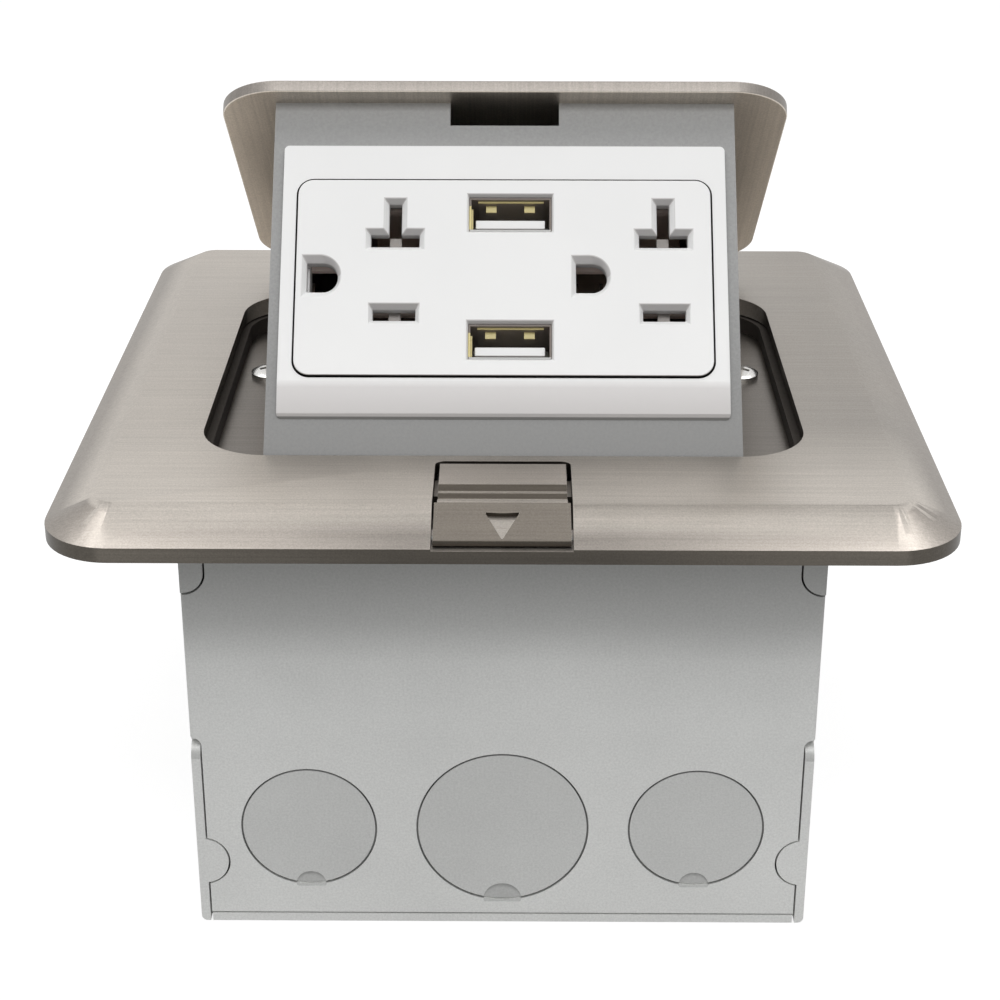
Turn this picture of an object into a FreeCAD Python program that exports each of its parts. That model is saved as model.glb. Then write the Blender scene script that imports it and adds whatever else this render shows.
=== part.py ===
import FreeCAD, Part
import math
import os
import re
import Sketcher
from FreeCAD import Placement, Rotation, Vector

# Pop-up floor socket box: a square cover plate over a steel floor box, with a hinged lid that
# carries a duplex receptacle with two charging ports.
#
# Sizes are millimetres. Every piece is drawn about the centre of the cover plate, with z = 0 at
# the finished floor (the underside of the plate's rim), +X to the right and -Y towards the latch.
# The pieces under the lid are drawn with the lid shut. A placement then lifts everything so that
# the box stands on z = 0, and turns the lid's pieces open about the hinge shaft.

SIZES = {
    # cover plate
    "plate_side": 138.0,
    "plate_corner": 11.0,
    "rim_height": 2.4,
    "plate_top": 6.2,
    "bevel_width": 8.0,
    "bevel_corner": 3.0,
    "plate_wall": 2.0,
    "opening_half": 48.2,
    "opening_front": -43.1,
    "opening_back": 34.2,
    "opening_corner": 10.8,
    "front_undercut": 0.85,
    "back_ramp": 1.75,
    "post_x": 55.0,
    "post_radius": 3.0,
    "stake_radius": 1.5,
    # floor box
    "box_side": 101.6,
    "box_depth": 76.2,
    "box_sheet": 1.5,
    "box_bend": 0.8,
    "flap_top": -41.9,
    "flap_gap": 1.3,
    "base_fold": 1.0,
    "seam": 0.3,
    "lock_tab_low": -68.6,
    "lock_tab_high": -60.0,
    "lock_tab_reach": 45.7,
    "ear_tab_reach": 47.0,
    "ear_tab_low": -14.2,
    "knockout_z": -57.6,
    "knockout_pitch": 32.0,
    "knockout_small": 11.1,
    "knockout_large": 14.1,
    "knockout_gap": 0.3,
    "knockout_depth": 0.6,
    "knockout_shift": 0.1,
    "notch_height": 0.25,
    "floor_screw_x": 35.0,
    "floor_screw_y": 22.2,
    "floor_screw_radius": 2.5,
    # hinge frame and shaft
    "frame_side": 119.0,
    "frame_sheet": 1.2,
    "window_half": 38.2,
    "window_front": -48.3,
    "window_back": 36.0,
    "pivot_y": 45.0,
    "pivot_z": -19.0,
    "open_angle": 40.0,
    "shaft_radius": 2.0,
    "shaft_length": 83.2,
    "running_gap": 0.06,
    "eye_radius": 4.0,
    "cover_screw_x": 41.65,
    "cover_screw_y": 4.5,
    "cover_screw_radius": 1.6,
    # latch
    "slot_half": 10.5,
    "slot_back": -45.2,
    "slot_corner": 1.5,
    "rim_strip": 2.1,
    "button_half_back": 9.75,
    "button_half_front": 10.2,
    "button_bottom": 2.4,
    "arrow_tilt": 14.0,
    "wing_half": 14.0,
    "leaf_half": 7.5,
    "leaf_sheet": 0.4,
    # lid and the grey frame below it
    "lid_half": 47.0,
    "lid_front": -42.5,
    "lid_back": 29.6,
    "lid_sheet": 2.0,
    "lid_corner": 10.0,
    "stud_x": 29.8,
    "stud_front": -31.0,
    "stud_back": 14.0,
    "stud_radius": 1.5,
    "cage_half": 37.6,
    "cage_front": -38.3,
    "cage_bottom": -59.7,
    "cage_wall": 2.0,
    "cage_swing": 28.0,
    "notch_half": 8.9,
    "notch_depth": 4.0,
    "relief_half": 10.5,
    "relief_depth": 3.0,
    # bezel
    "bezel_half": 35.75,
    "bezel_top": -4.0,
    "bezel_bottom": -50.3,
    "bezel_front": -39.5,
    # receptacle
    "device_z": -26.8,
    "face_half": 33.25,
    "face_half_height": 16.65,
    "face_corner": 2.5,
    "face_front": -39.9,
    "face_wall": 2.4,
    "face_back": -33.0,
    "yoke_sheet": 1.2,
    "body_half": 33.2,
    "body_half_height": 15.5,
    "body_back": -11.0,
    "body_wall": 1.6,
    "outlet_left": -17.5,
    "outlet_right": 25.6,
    "blade_offset": 6.35,
    "ground_offset": 11.7,
    "charger_x": 1.0,
    "charger_offset": 10.85,
}

doc = FreeCAD.newDocument("floor_socket_box")
sheet = doc.addObject("Spreadsheet::Sheet", "sizes")
for row, (alias, size) in enumerate(SIZES.items(), 1):
    sheet.set(f"A{row}", alias)
    sheet.set(f"B{row}", str(size))
    sheet.setAlias(f"B{row}", alias)
doc.recompute()

FIXED = "placement(vector(0; 0; sizes.box_depth); rotation(vector(1; 0; 0); 0))"
TILTED = (
    "placement(vector(0; 0; sizes.box_depth); rotation(vector(1; 0; 0); -sizes.open_angle);"
    " vector(0; sizes.pivot_y; sizes.pivot_z))"
)
ON_SHAFT = (
    "placement(vector(0; sizes.pivot_y; sizes.box_depth + sizes.pivot_z);"
    " rotation(vector(1; 0; 0); 0))"
)
parts = {}


def expression(text):
    """Name each sheet cell in full, so that a size can be written as plate_side / 2."""
    return re.sub(r"[a-z]\w*", lambda m: f"sizes.{m[0]}" if m[0] in SIZES else m[0], str(text))


def value(text):
    return float(sheet.evalExpression(expression(text)))


def bind(thing, prop, text):
    thing.setExpression(prop, expression(text))


def new_body(label, place=FIXED):
    """A sub-part made as a PartDesign body."""
    body = doc.addObject("PartDesign::Body", label)
    body.Label = label
    body.setExpression("Placement", place)
    parts[label] = body
    return body


def new_shape(label, shapes, place=FIXED):
    """A sub-part whose solids are made with Part's own functions."""
    feature = doc.addObject("Part::Feature", label)
    feature.Label = label
    feature.Shape = Part.makeCompound(shapes)
    feature.setExpression("Placement", place)
    parts[label] = feature
    return feature


def new_sketch(body, plane, at=0):
    """A sketch on one of the body's own planes, moved to the coordinate `at` along its normal."""
    sketch = body.newObject("Sketcher::SketchObject", f"{body.Name}_sketch")
    origin_plane = next(f for f in body.Origin.OriginFeatures if f.Role == f"{plane}_Plane")
    sketch.AttachmentSupport = [(origin_plane, "")]
    sketch.MapMode = "FlatFace"
    # the XZ plane's normal points along -Y
    bind(sketch, "AttachmentOffset.Base.z", f"-({at})" if plane == "XZ" else at)
    return sketch


def pins(geometry, point, corner):
    """The constraints that hold a point at (x, y), each with the formula that drives it."""
    return [
        (Sketcher.Constraint(kind, -1, 1, geometry, point, value(text)), text)
        for kind, text in zip(("DistanceX", "DistanceY"), corner)
    ]


def constrain(sketch, rules):
    """Add (constraint, formula) pairs together, then bind the sizes to their formulas."""
    first = sketch.ConstraintCount
    sketch.addConstraint([constraint for constraint, _ in rules])
    for index, (_, text) in enumerate(rules, first):
        if text is not None:
            bind(sketch, f"Constraints[{index}]", text)


def outline(sketch, corners):
    """A closed outline. Each corner is (x, y) or (x, y, radius), as numbers or sheet formulas."""
    points = [Vector(value(c[0]), value(c[1]), 0) for c in corners]
    count = len(corners)
    bends = []
    for i, corner in enumerate(corners):
        here = points[i]
        back = (points[i - 1] - here).normalize()
        ahead = (points[(i + 1) % count] - here).normalize()
        radius = value(corner[2]) if len(corner) > 2 else 0
        half = back.getAngle(ahead) / 2
        cut = radius / math.tan(half)
        middle = here + (back + ahead).normalize() * (radius / math.sin(half) - radius)
        bends.append((here + back * cut, middle, here + ahead * cut))
    lines = [
        sketch.addGeometry(Part.LineSegment(bends[i][2], bends[(i + 1) % count][0]), False)
        for i in range(count)
    ]
    rules = []
    for i, corner in enumerate(corners):
        before, after = lines[i - 1], lines[i]
        if len(corner) == 2:
            rules.append((Sketcher.Constraint("Coincident", before, 2, after, 1), None))
            rules += pins(after, 1, corner)
            continue
        # an arc always runs counter-clockwise, so at an inward corner its ends swap
        start, middle, end = bends[i]
        outward = (middle - start).cross(end - middle).z > 0
        arc = sketch.addGeometry(
            Part.Arc(start, middle, end) if outward else Part.Arc(end, middle, start), False
        )
        near, far = (1, 2) if outward else (2, 1)
        apex = sketch.addGeometry(Part.Point(points[i]), True)
        rules += [
            (Sketcher.Constraint("Tangent", before, 2, arc, near), None),
            (Sketcher.Constraint("Tangent", after, 1, arc, far), None),
            (Sketcher.Constraint("Radius", arc, value(corner[2])), corner[2]),
            (Sketcher.Constraint("PointOnObject", apex, 1, before), None),
            (Sketcher.Constraint("PointOnObject", apex, 1, after), None),
            *pins(apex, 1, corner),
        ]
    constrain(sketch, rules)


def rectangle(sketch, low_x, low_y, high_x, high_y, radius=None):
    corners = [(low_x, low_y), (high_x, low_y), (high_x, high_y), (low_x, high_y)]
    outline(sketch, [c if radius is None else (*c, radius) for c in corners])


def circle(sketch, x, y, radius):
    ring = Part.Circle(Vector(value(x), value(y), 0), Vector(0, 0, 1), value(radius))
    index = sketch.addGeometry(ring, False)
    size = (Sketcher.Constraint("Radius", index, value(radius)), radius)
    constrain(sketch, pins(index, 3, (x, y)) + [size])


def feature(body, kind, profile, length=None, flip=False):
    """Pad or Pocket a sketch. A pad grows along the plane's normal and a pocket against it."""
    made = body.newObject(f"PartDesign::{kind}", f"{body.Name}_{kind.lower()}")
    made.Profile = profile
    made.Reversed = flip
    if length is None:
        made.Type = "ThroughAll"
        made.Midplane = True
    else:
        bind(made, "Length", length)
    profile.Visibility = False
    return made


def slab(body, plane, at, thickness, *shape, cut=False, flip=False):
    """Pad (or cut) a rounded rectangle from the plane `at`, towards the plane's normal."""
    sketch = new_sketch(body, plane, at)
    rectangle(sketch, *shape)
    return feature(body, "Pocket" if cut else "Pad", sketch, thickness, flip != cut)


def prism(body, plane, at, thickness, corners, cut=False, flip=False):
    sketch = new_sketch(body, plane, at)
    outline(sketch, corners)
    return feature(body, "Pocket" if cut else "Pad", sketch, thickness, flip != cut)


def discs(body, plane, at, thickness, circles, cut=False, flip=False):
    sketch = new_sketch(body, plane, at)
    for x, y, radius in circles:
        circle(sketch, x, y, radius)
    return feature(body, "Pocket" if cut else "Pad", sketch, thickness, flip != cut)


def loft(body, plane, low, high, cut=False):
    """Join two outlines, each given as (at, corners), with flat sides."""
    sketches = []
    for at, corners in (low, high):
        sketch = new_sketch(body, plane, at)
        outline(sketch, corners)
        sketches.append(sketch)
    kind = "SubtractiveLoft" if cut else "AdditiveLoft"
    made = body.newObject(f"PartDesign::{kind}", f"{body.Name}_loft")
    made.Profile = sketches[0]
    made.Sections = [sketches[1]]
    made.Ruled = True
    return made


def square(half, radius):
    return [
        (f"-({half})", f"-({half})", radius),
        (half, f"-({half})", radius),
        (half, half, radius),
        (f"-({half})", half, radius),
    ]


# ---------------------------------------------------------------- shapes made with Part alone


def brick(x, y, z):
    """A block between pairs of limits."""
    corner = Vector(x[0], y[0], z[0])
    return Part.makeBox(x[1] - x[0], y[1] - y[0], z[1] - z[0], corner)


def rod(radius, start, end):
    start, end = Vector(*start), Vector(*end)
    return Part.makeCylinder(radius, (end - start).Length, start, end - start)


def rounded_block(x, y, z, radius):
    """A block with its upright edges rounded."""
    block = brick(x, y, z)
    upright = [e for e in block.Edges if abs(e.Vertexes[0].Z - e.Vertexes[1].Z) > 1e-6]
    return block.makeFillet(radius, upright)


def helix(radius, low, high, start, sweep, step=30):
    """Points on a helix along +Z, from the angle `start` through `sweep` degrees."""
    count = max(2, round(abs(sweep) / step))
    points = []
    for k in range(count + 1):
        angle = math.radians(start + sweep * k / count)
        height = low + (high - low) * k / count
        points.append(Vector(radius * math.cos(angle), radius * math.sin(angle), height))
    return points


def bent_wire(path, radius, sides=6):
    """A round wire, as a many-sided bar bent at each point of the path with mitred corners."""
    path = [Vector(*point) for point in path]
    runs = [(b - a).normalize() for a, b in zip(path, path[1:])]
    across = runs[0].cross(Vector(1, 0, 0) if abs(runs[0].x) < 0.7 else Vector(0, 1, 0)).normalize()
    upward = runs[0].cross(across)
    ring = []
    for k in range(sides):
        angle = 2 * math.pi * (k + 0.5) / sides
        ring.append(path[0] + across * (radius * math.cos(angle)) + upward * (radius * math.sin(angle)))
    faces = [Part.Face(Part.makePolygon(ring + ring[:1]))]
    for index, run in enumerate(runs):
        corner = path[index + 1]
        mitre = run + runs[index + 1] if index + 1 < len(runs) else run
        ahead = [v + run * ((corner - v).dot(mitre) / run.dot(mitre)) for v in ring]
        for k in range(sides):
            after = (k + 1) % sides
            quad = [ring[k], ring[after], ahead[after], ahead[k], ring[k]]
            faces.append(Part.Face(Part.makePolygon(quad)))
        ring = ahead
    faces.append(Part.Face(Part.makePolygon(ring + ring[:1])))
    shell = Part.makeShell(faces)
    shell.sewShape()
    wire = Part.Solid(shell)
    if wire.Volume < 0:
        wire.reverse()
    return wire


def hexagon(across, low, high, x, y):
    corners = [
        Vector(
            x + across / math.sqrt(3) * math.cos(math.radians(60 * k)),
            y + across / math.sqrt(3) * math.sin(math.radians(60 * k)),
            low,
        )
        for k in range(7)
    ]
    return Part.Face(Part.makePolygon(corners)).extrude(Vector(0, 0, high - low))


def domed_screw(head_radius, head_height, shank_radius, shank_length):
    """A pan-head screw standing on z = 0, its shank below and a cross recess in its head."""
    crown = head_height * 0.45
    profile = Part.makePolygon(
        [
            Vector(0, 0, -shank_length),
            Vector(shank_radius * 0.6, 0, -shank_length),
            Vector(shank_radius, 0, -shank_length + shank_radius * 0.6),
            Vector(shank_radius, 0, 0),
            Vector(head_radius, 0, 0),
            Vector(head_radius, 0, head_height - crown),
        ]
    )
    dome = Part.Arc(
        Vector(head_radius, 0, head_height - crown),
        Vector(head_radius * 0.72, 0, head_height - crown * 0.3),
        Vector(0, 0, head_height),
    ).toShape()
    axis = Part.makeLine(Vector(0, 0, head_height), Vector(0, 0, -shank_length))
    half = Part.Face(Part.Wire(profile.Edges + [dome, axis]))
    screw = half.revolve(Vector(), Vector(0, 0, 1), 360)
    reach, width = head_radius * 0.55, head_radius * 0.13
    floor = head_height * 0.45
    across = brick((-reach, reach), (-width, width), (floor, head_height + 1))
    along = brick((-width, width), (-reach, reach), (floor, head_height + 1))
    return Part.Solid(screw.cut(across.fuse(along)).Solids[0].Shells[0])


def placed(shape, move, turn=None):
    copy = shape.copy()
    copy.Placement = Placement(Vector(*move), turn or Rotation())
    return copy


# ---------------------------------------------------------------- cover plate


POST_Y = (-38.0, 2.0, 42.0)


def cover_plate():
    """Bevelled plate, hollow below, with the lid opening, the latch slot and its fixing posts."""
    body = new_body("cover_plate")
    half = "plate_side / 2"
    slab(body, "XY", 0, "rim_height", f"-{half}", f"-{half}", half, half, "plate_corner")
    loft(
        body,
        "XY",
        ("rim_height", square(half, "plate_corner")),
        ("plate_top", square(f"{half} - bevel_width", "bevel_corner")),
    )
    # the hollow keeps an even wall under the rim, the bevel and the flat top
    inner = f"{half} - plate_wall"
    slope = "(plate_top - rim_height) / bevel_width"
    hollow_top = "plate_top - plate_wall"
    ridge = f"{half} - bevel_width - plate_wall * 0.225"
    step = f"{hollow_top} - ({inner} - ({ridge})) * {slope}"
    slab(
        body, "XY", 0, step, f"-({inner})", f"-({inner})", inner, inner,
        "plate_corner - plate_wall", cut=True,
    )
    loft(
        body,
        "XY",
        (step, square(inner, "plate_corner - plate_wall")),
        (hollow_top, square(ridge, "bevel_corner - 0.45")),
        cut=True,
    )
    # the opening leans, so that the lid's back edge and the grey frame below it can swing past
    levels = []
    for level in (f"{hollow_top} - 1", "plate_top + 1"):
        front = f"opening_front - front_undercut * (plate_top - ({level}))"
        back = f"opening_back - back_ramp * (plate_top - ({level}))"
        sides = ("-opening_half", "opening_half")
        ring = [(sides[0], front), (sides[1], front), (sides[1], back), (sides[0], back)]
        levels.append((level, [(*corner, "opening_corner") for corner in ring]))
    loft(body, "XY", *levels, cut=True)
    prism(
        body, "XY", "rim_strip", "plate_top",
        [
            ("-slot_half", "slot_back", "slot_corner"),
            ("-slot_half", f"-{half} - 1"),
            ("slot_half", f"-{half} - 1"),
            ("slot_half", "slot_back", "slot_corner"),
        ],
        cut=True,
    )
    posts = [(x, y) for x in ("-post_x", "post_x") for y in POST_Y]
    thick = [(x, y, "post_radius") for x, y in posts]
    thin = [(x, y, "stake_radius") for x, y in posts]
    discs(body, "XY", "frame_sheet", f"{hollow_top} - frame_sheet + 0.1", thick)
    discs(body, "XY", 0, f"{hollow_top}", thin)


def lid_gasket():
    """Black foam strips on the frame's ledges, which the closed lid rests just above."""
    low, high = value("frame_sheet"), 3.9
    half, radius = value("opening_half"), value("opening_corner")
    front, back = value("opening_front"), value("opening_back")
    outer = rounded_block(
        (-half - 1.8, half + 1.8), (front - 3.2, back + 1.0), (low, high), radius
    )
    inner = rounded_block(
        (-half + 1.3, half - 1.3), (front + 1.3, back - 3.9), (low - 1, high + 1), radius - 1.3
    )
    middle = brick((-38.6, 38.6), (-60, 60), (low - 1, high + 1))
    strips = outer.cut(inner).cut(middle)
    new_shape("lid_gasket", strips.Solids)


# ---------------------------------------------------------------- floor box


def knockouts(body, plane, at, centres, flip):
    """Sheared rings in a wall, each with a half-round pry notch ramped in at its foot."""
    for x, y, radius in centres:
        ring = new_sketch(body, plane, at)
        circle(ring, x, y, f"{radius} + knockout_gap / 2")
        circle(ring, x, f"({y}) + knockout_shift", f"{radius} - knockout_gap / 2")
        feature(body, "Pocket", ring, "knockout_depth", flip)
        foot = f"({y}) - {radius} - 0.45"
        height, half = f"{radius} * notch_height", f"{radius} * 0.225"
        lean = math.degrees(math.atan2(value("knockout_depth + 0.2"), value(height)))
        ramp = new_sketch(body, plane, at)
        ramp.AttachmentOffset = Placement(
            Vector(0, value(foot), ramp.AttachmentOffset.Base.z),
            Rotation(Vector(1, 0, 0), lean if flip else -lean),
        )
        bind(ramp, "AttachmentOffset.Base.y", foot)
        outline(
            ramp,
            [
                (f"({x}) - {half}", "0", "0.4"),
                (f"({x}) + {half}", "0", "0.4"),
                (f"({x}) + {half}", height, f"{half} * 0.95"),
                (f"({x}) - {half}", height, f"{half} * 0.95"),
            ],
        )
        feature(body, "Pocket", ramp, "2", not flip)


def wall_knockouts():
    return [
        ("-knockout_pitch", "knockout_z", "knockout_small"),
        ("0", "knockout_z", "knockout_large"),
        ("knockout_pitch", "knockout_z", "knockout_small"),
    ]


def box_wrap():
    """Folded wall of the floor box: open below the flaps of the base on its left and right."""
    body = new_body("box_wrap")
    half = "box_side / 2"
    foot = "-box_depth + box_sheet + seam"
    slab(body, "XY", foot, f"-({foot})", f"-{half}", f"-{half}", half, half, "box_bend")
    inner = f"{half} - box_sheet"
    slab(body, "XY", foot, f"-({foot})", f"-({inner})", f"-({inner})", inner, inner, cut=True)
    for side in (1, -1):
        # the base's side flap fills this cut-out, with a small relief at each corner above it
        inward, outward = f"{side} * ({half} - box_sheet - seam)", f"{side} * ({half} + 1)"
        low, high = (inward, outward)[::side]
        top = "flap_top + flap_gap"
        slab(
            body, "XY", foot, f"flap_top + seam - ({foot})",
            low, f"-({inner})", high, inner, cut=True,
        )
        edge = [
            (inward, f"{foot} - 1"), (outward, f"{foot} - 1"), (outward, top), (inward, top, "1.4"),
        ]
        for face in (-1, 1):
            at = f"{face} * {half}"
            lock = [
                (f"{side} * ({half} + 1)", "lock_tab_high + seam"),
                (f"{side} * (lock_tab_reach - seam)", "lock_tab_high + seam", "4.5"),
                (f"{side} * (lock_tab_reach - seam)", "lock_tab_low - seam", "4.5"),
                (f"{side} * ({half} + 1)", "lock_tab_low - seam"),
            ]
            ear = [
                (f"{side} * ({half} + 1)", "1"),
                (f"{side} * (ear_tab_reach - seam)", "1"),
                (f"{side} * (ear_tab_reach - seam)", "ear_tab_low - seam", "3.8"),
                (f"{side} * ({half} + 1)", "ear_tab_low - seam"),
            ]
            for corners in (edge, lock, ear):
                prism(body, "XZ", at, "box_sheet", corners, cut=True, flip=face < 0)
    for face in (-1, 1):
        knockouts(body, "XZ", f"{face} * {half}", wall_knockouts(), flip=face > 0)
    return body


def box_base():
    """Floor of the box, folded up at both sides, with half-round tabs that lock the walls."""
    body = new_body("box_base")
    half = "box_side / 2"
    inner = f"{half} - box_sheet"
    low, floor, fold = "-box_depth", "-box_depth + box_sheet", "-box_depth + 3"
    prism(
        body, "XZ", half, "box_side",
        [
            (f"-({half})", low, "base_fold"), (half, low, "base_fold"), (half, fold), (inner, fold),
            (inner, floor, "0.3"), (f"-({inner})", floor, "0.3"), (f"-({inner})", fold),
            (f"-({half})", fold),
        ],
    )
    for side in (1, -1):
        # short slits part the floor from the folds at its corners
        left, right = (f"{side} * ({inner} - 0.4)", f"{side} * ({inner})")[::side]
        for face in (-1, 1):
            front, back = (f"{face} * ({half} - 2)", f"{face} * ({half} + 1)")[::face]
            slab(body, "XY", low, "box_sheet + 0.4", left, front, right, back, cut=True)
        at = inner if side > 0 else f"-({half})"
        prism(
            body, "YZ", at, "box_sheet",
            [
                (f"-({half})", f"{fold} - 0.2"),
                (half, f"{fold} - 0.2"),
                (half, "flap_top", "3"),
                (f"-({half})", "flap_top", "3"),
            ],
        )
        for face in (-1, 1):
            tab = [
                (f"{side} * {half}", "lock_tab_high"),
                (f"{side} * lock_tab_reach", "lock_tab_high", "4.2"),
                (f"{side} * lock_tab_reach", "lock_tab_low", "4.2"),
                (f"{side} * {half}", "lock_tab_low"),
            ]
            prism(body, "XZ", f"{face} * {half}", "box_sheet", tab, flip=face < 0)
        knockouts(body, "YZ", f"{side} * {half}", wall_knockouts(), flip=side < 0)
    holes = [
        (f"{sx} * floor_screw_x", f"{sy} * floor_screw_y", "floor_screw_radius")
        for sx in (-1, 1)
        for sy in (-1, 1)
    ]
    discs(body, "XY", "-box_depth", "box_sheet", holes, cut=True)
    discs(body, "XY", "-box_depth", "box_sheet", [("-20", "36", "2")], cut=True)
    knockouts(body, "XY", "-box_depth", [("0", "0", "knockout_large")], flip=True)
    return body


def ear_bracket(label, side):
    """Inner side plate with the threaded ear for a cover screw and two corner tabs."""
    body = new_body(label)
    half = "box_side / 2"
    outer, inner = f"{half} - box_sheet", f"{half} - 2 * box_sheet"
    at = inner if side > 0 else f"-({outer})"
    slab(body, "YZ", at, "box_sheet", f"-({outer})", "ear_tab_low", outer, 0)
    root = f"{side} * ({inner} + 0.1)"
    prism(
        body, "XY", "-box_sheet", "box_sheet",
        [(root, "0"), (f"{side} * 38.7", "0", "2.5"), (f"{side} * 38.7", "14", "2.5"), (root, "14")],
    )
    for face in (-1, 1):
        tab = [
            (f"{side} * {half}", 0),
            (f"{side} * ear_tab_reach", 0),
            (f"{side} * ear_tab_reach", "ear_tab_low", "3.5"),
            (f"{side} * {half}", "ear_tab_low"),
        ]
        prism(body, "XZ", f"{face} * {half}", "box_sheet", tab, flip=face < 0)
    screw = (f"{side} * cover_screw_x", "cover_screw_y", "cover_screw_radius")
    discs(body, "XY", "-box_sheet", "box_sheet", [screw], cut=True)
    return body


def ground_screw():
    """Hexagon-washer screw for the earth wire, in the box's floor."""
    x, y = -20.0, 36.0
    floor = -value("box_depth") + value("box_sheet")
    shape = rod(2.0, (x, y, floor - 1.5), (x, y, floor))
    shape = shape.fuse(rod(4.6, (x, y, floor), (x, y, floor + 0.8)))
    shape = shape.fuse(hexagon(6.4, floor + 0.8, floor + 3.2, x, y))
    shape = shape.cut(brick((x - 5, x + 5), (y - 0.5, y + 0.5), (floor + 2.2, floor + 4)))
    new_shape("ground_screw", [shape.removeSplitter()])


# ---------------------------------------------------------------- hinge


def hinge_frame():
    """Stamped frame staked under the cover plate: side ledges, a window and two hinge ears."""
    body = new_body("hinge_frame")
    half = "frame_side / 2"
    slab(body, "XY", 0, "frame_sheet", f"-{half}", f"-{half}", half, half, 6)
    slab(
        body, "XY", 0, "frame_sheet",
        "-window_half", "window_front", "window_half", "window_back", cut=True,
    )
    # room for the latch leaf
    slab(body, "XY", 0, "frame_sheet", -8.5, "window_front - 3.4", 8.5, "window_front + 1", cut=True)
    for side in (1, -1):
        at = "window_half" if side > 0 else "-window_half - frame_sheet"
        ear = [
            ("window_back + 2", "0.2"),
            ("pivot_y + eye_radius", "0.2"),
            ("pivot_y + eye_radius", "pivot_z - eye_radius", "eye_radius - 0.1"),
            ("pivot_y - eye_radius", "pivot_z - eye_radius", "eye_radius - 0.1"),
        ]
        prism(body, "YZ", at, "frame_sheet", ear)
    discs(body, "YZ", 0, None, [("pivot_y", "pivot_z", "shaft_radius + 0.02")], cut=True)
    screws = [(f"{s} * cover_screw_x", "cover_screw_y", "2.1") for s in (-1, 1)]
    stakes = [(x, y, "stake_radius + 0.02") for x in ("-post_x", "post_x") for y in POST_Y]
    legs = [(x, "pivot_y - 3.2", "0.8") for x in ("-29.9", "29.9")]
    discs(body, "XY", 0, "frame_sheet", screws + stakes + legs, cut=True)
    return body


def hinge_shaft():
    """Plain shaft with a groove near each end for a clip."""
    body = new_body("hinge_shaft", ON_SHAFT)
    end, radius = "shaft_length / 2", "shaft_radius"
    groove = [("40.4", radius), ("40.4", "1.6"), ("39.8", "1.6"), ("39.8", radius)]
    right = [(f"{end}", "0"), (end, f"{radius} - 0.3"), (f"{end} - 0.3", radius), *groove]
    left = [(f"-({x})", y) for x, y in reversed(right)]
    sketch = new_sketch(body, "XZ")
    outline(sketch, right + left)
    turned = body.newObject("PartDesign::Revolution", "hinge_shaft_turned")
    turned.Profile = sketch
    turned.ReferenceAxis = (sketch, ["H_Axis"])
    turned.Angle = 360
    return body


def retaining_clips():
    """Open rings that snap into the shaft's grooves outside the hinge ears."""
    clips = []
    for side in (-1, 1):
        low, high = sorted((side * 39.85, side * 40.35))
        ring = rod(3.4, (low, 0, 0), (high, 0, 0)).cut(rod(1.6, (low, 0, 0), (high, 0, 0)))
        mouth = brick((low - 1, high + 1), (-1.2, 1.2), (-5, 0))
        clips.append(ring.cut(mouth).Solids[0])
    new_shape("retaining_clips", clips, ON_SHAFT)


def torsion_springs():
    """Springs round the shaft that throw the lid open: one leg in the frame, one on the cage."""
    wire, radius, inner, outer = 0.42, 3.2, 29.9, 34.1
    # seen along +X, the coil turns from the upright leg to the leg that pushes the cage's peg up
    leave, reach = 61.5, 16.5
    turns = helix(radius, inner, outer, 180, 360 * 4 + leave - 180, 27)
    turns = [(point.z, point.x, point.y) for point in turns]
    ahead = math.radians(leave + 90)
    last = turns[-1]
    tip = (outer, last[1] + reach * math.cos(ahead), last[2] + reach * math.sin(ahead))
    top = value("0.9 - pivot_z")
    springs = []
    for side in (-1, 1):
        path = [(inner, -radius, top), *turns, tip]
        springs.append(bent_wire([(side * x, y, z) for x, y, z in path], wire, 8))
    new_shape("torsion_springs", springs, ON_SHAFT)


def cover_screws():
    """The two screws that hold the cover to the box's ears."""
    screw = domed_screw(3.3, 1.4, 1.55, 10)
    level = value("frame_sheet")
    y = value("cover_screw_y")
    copies = [
        placed(screw, (side * value("cover_screw_x"), y, level), Rotation(Vector(0, 0, 1), turn))
        for side, turn in ((-1, 20), (1, 65))
    ]
    new_shape("cover_screws", copies)


# ---------------------------------------------------------------- latch


def latch_button():
    """Sliding thumb button with two finger ridges and a recessed arrow on its sloping front."""
    body = new_body("latch_button")
    back = [("slot_back - 0.5", "button_bottom"), ("slot_back - 0.5", "plate_top", "0.7")]
    ridges = [
        ("-53.9", "plate_top", "0.4"), ("-54.9", "5.25", "0.4"),
        ("-56.7", "6.05", "0.3"), ("-57.6", "5.2", "0.4"),
        ("-59.3", "6.0", "0.3"), ("-60.2", "6.05", "0.4"),
    ]
    front = [("-67.8", "3.2", "0.25"), ("-67.8", "button_bottom")]
    prism(
        body, "YZ", "-button_half_back", "2 * button_half_back", (back + ridges + front)[::-1]
    )
    shoulder = [("-60.3", "button_bottom"), ("-60.3", "6.0"), ("-67.8", "3.2", "0.25")]
    prism(
        body, "YZ", "-button_half_front", "2 * button_half_front",
        (shoulder + [("-67.8", "button_bottom")])[::-1],
    )
    for low, high in (("-wing_half", "-9"), ("9", "wing_half")):
        slab(body, "XY", "button_bottom", "1.5", low, "-53.5", high, "-47.5")
    # the arrow's floor is flatter than the slope: deep at its base and level with it at its tip
    arrow = new_sketch(body, "XY", "3.26")
    arrow.AttachmentOffset = Placement(
        Vector(0, -67.55, 3.26), Rotation(Vector(1, 0, 0), value("arrow_tilt"))
    )
    outline(
        arrow,
        [("0", "0", "0.15"), ("2.6", "5.65", "0.1"), ("0", "5.45", "12"), ("-2.6", "5.65", "0.1")],
    )
    feature(body, "Pocket", arrow, "3", flip=True)
    rivets = [(x, "-57", "0.9") for x in ("-4.5", "4.5")]
    discs(body, "XY", "button_bottom", "1.6", rivets, cut=True)
    return body


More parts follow.
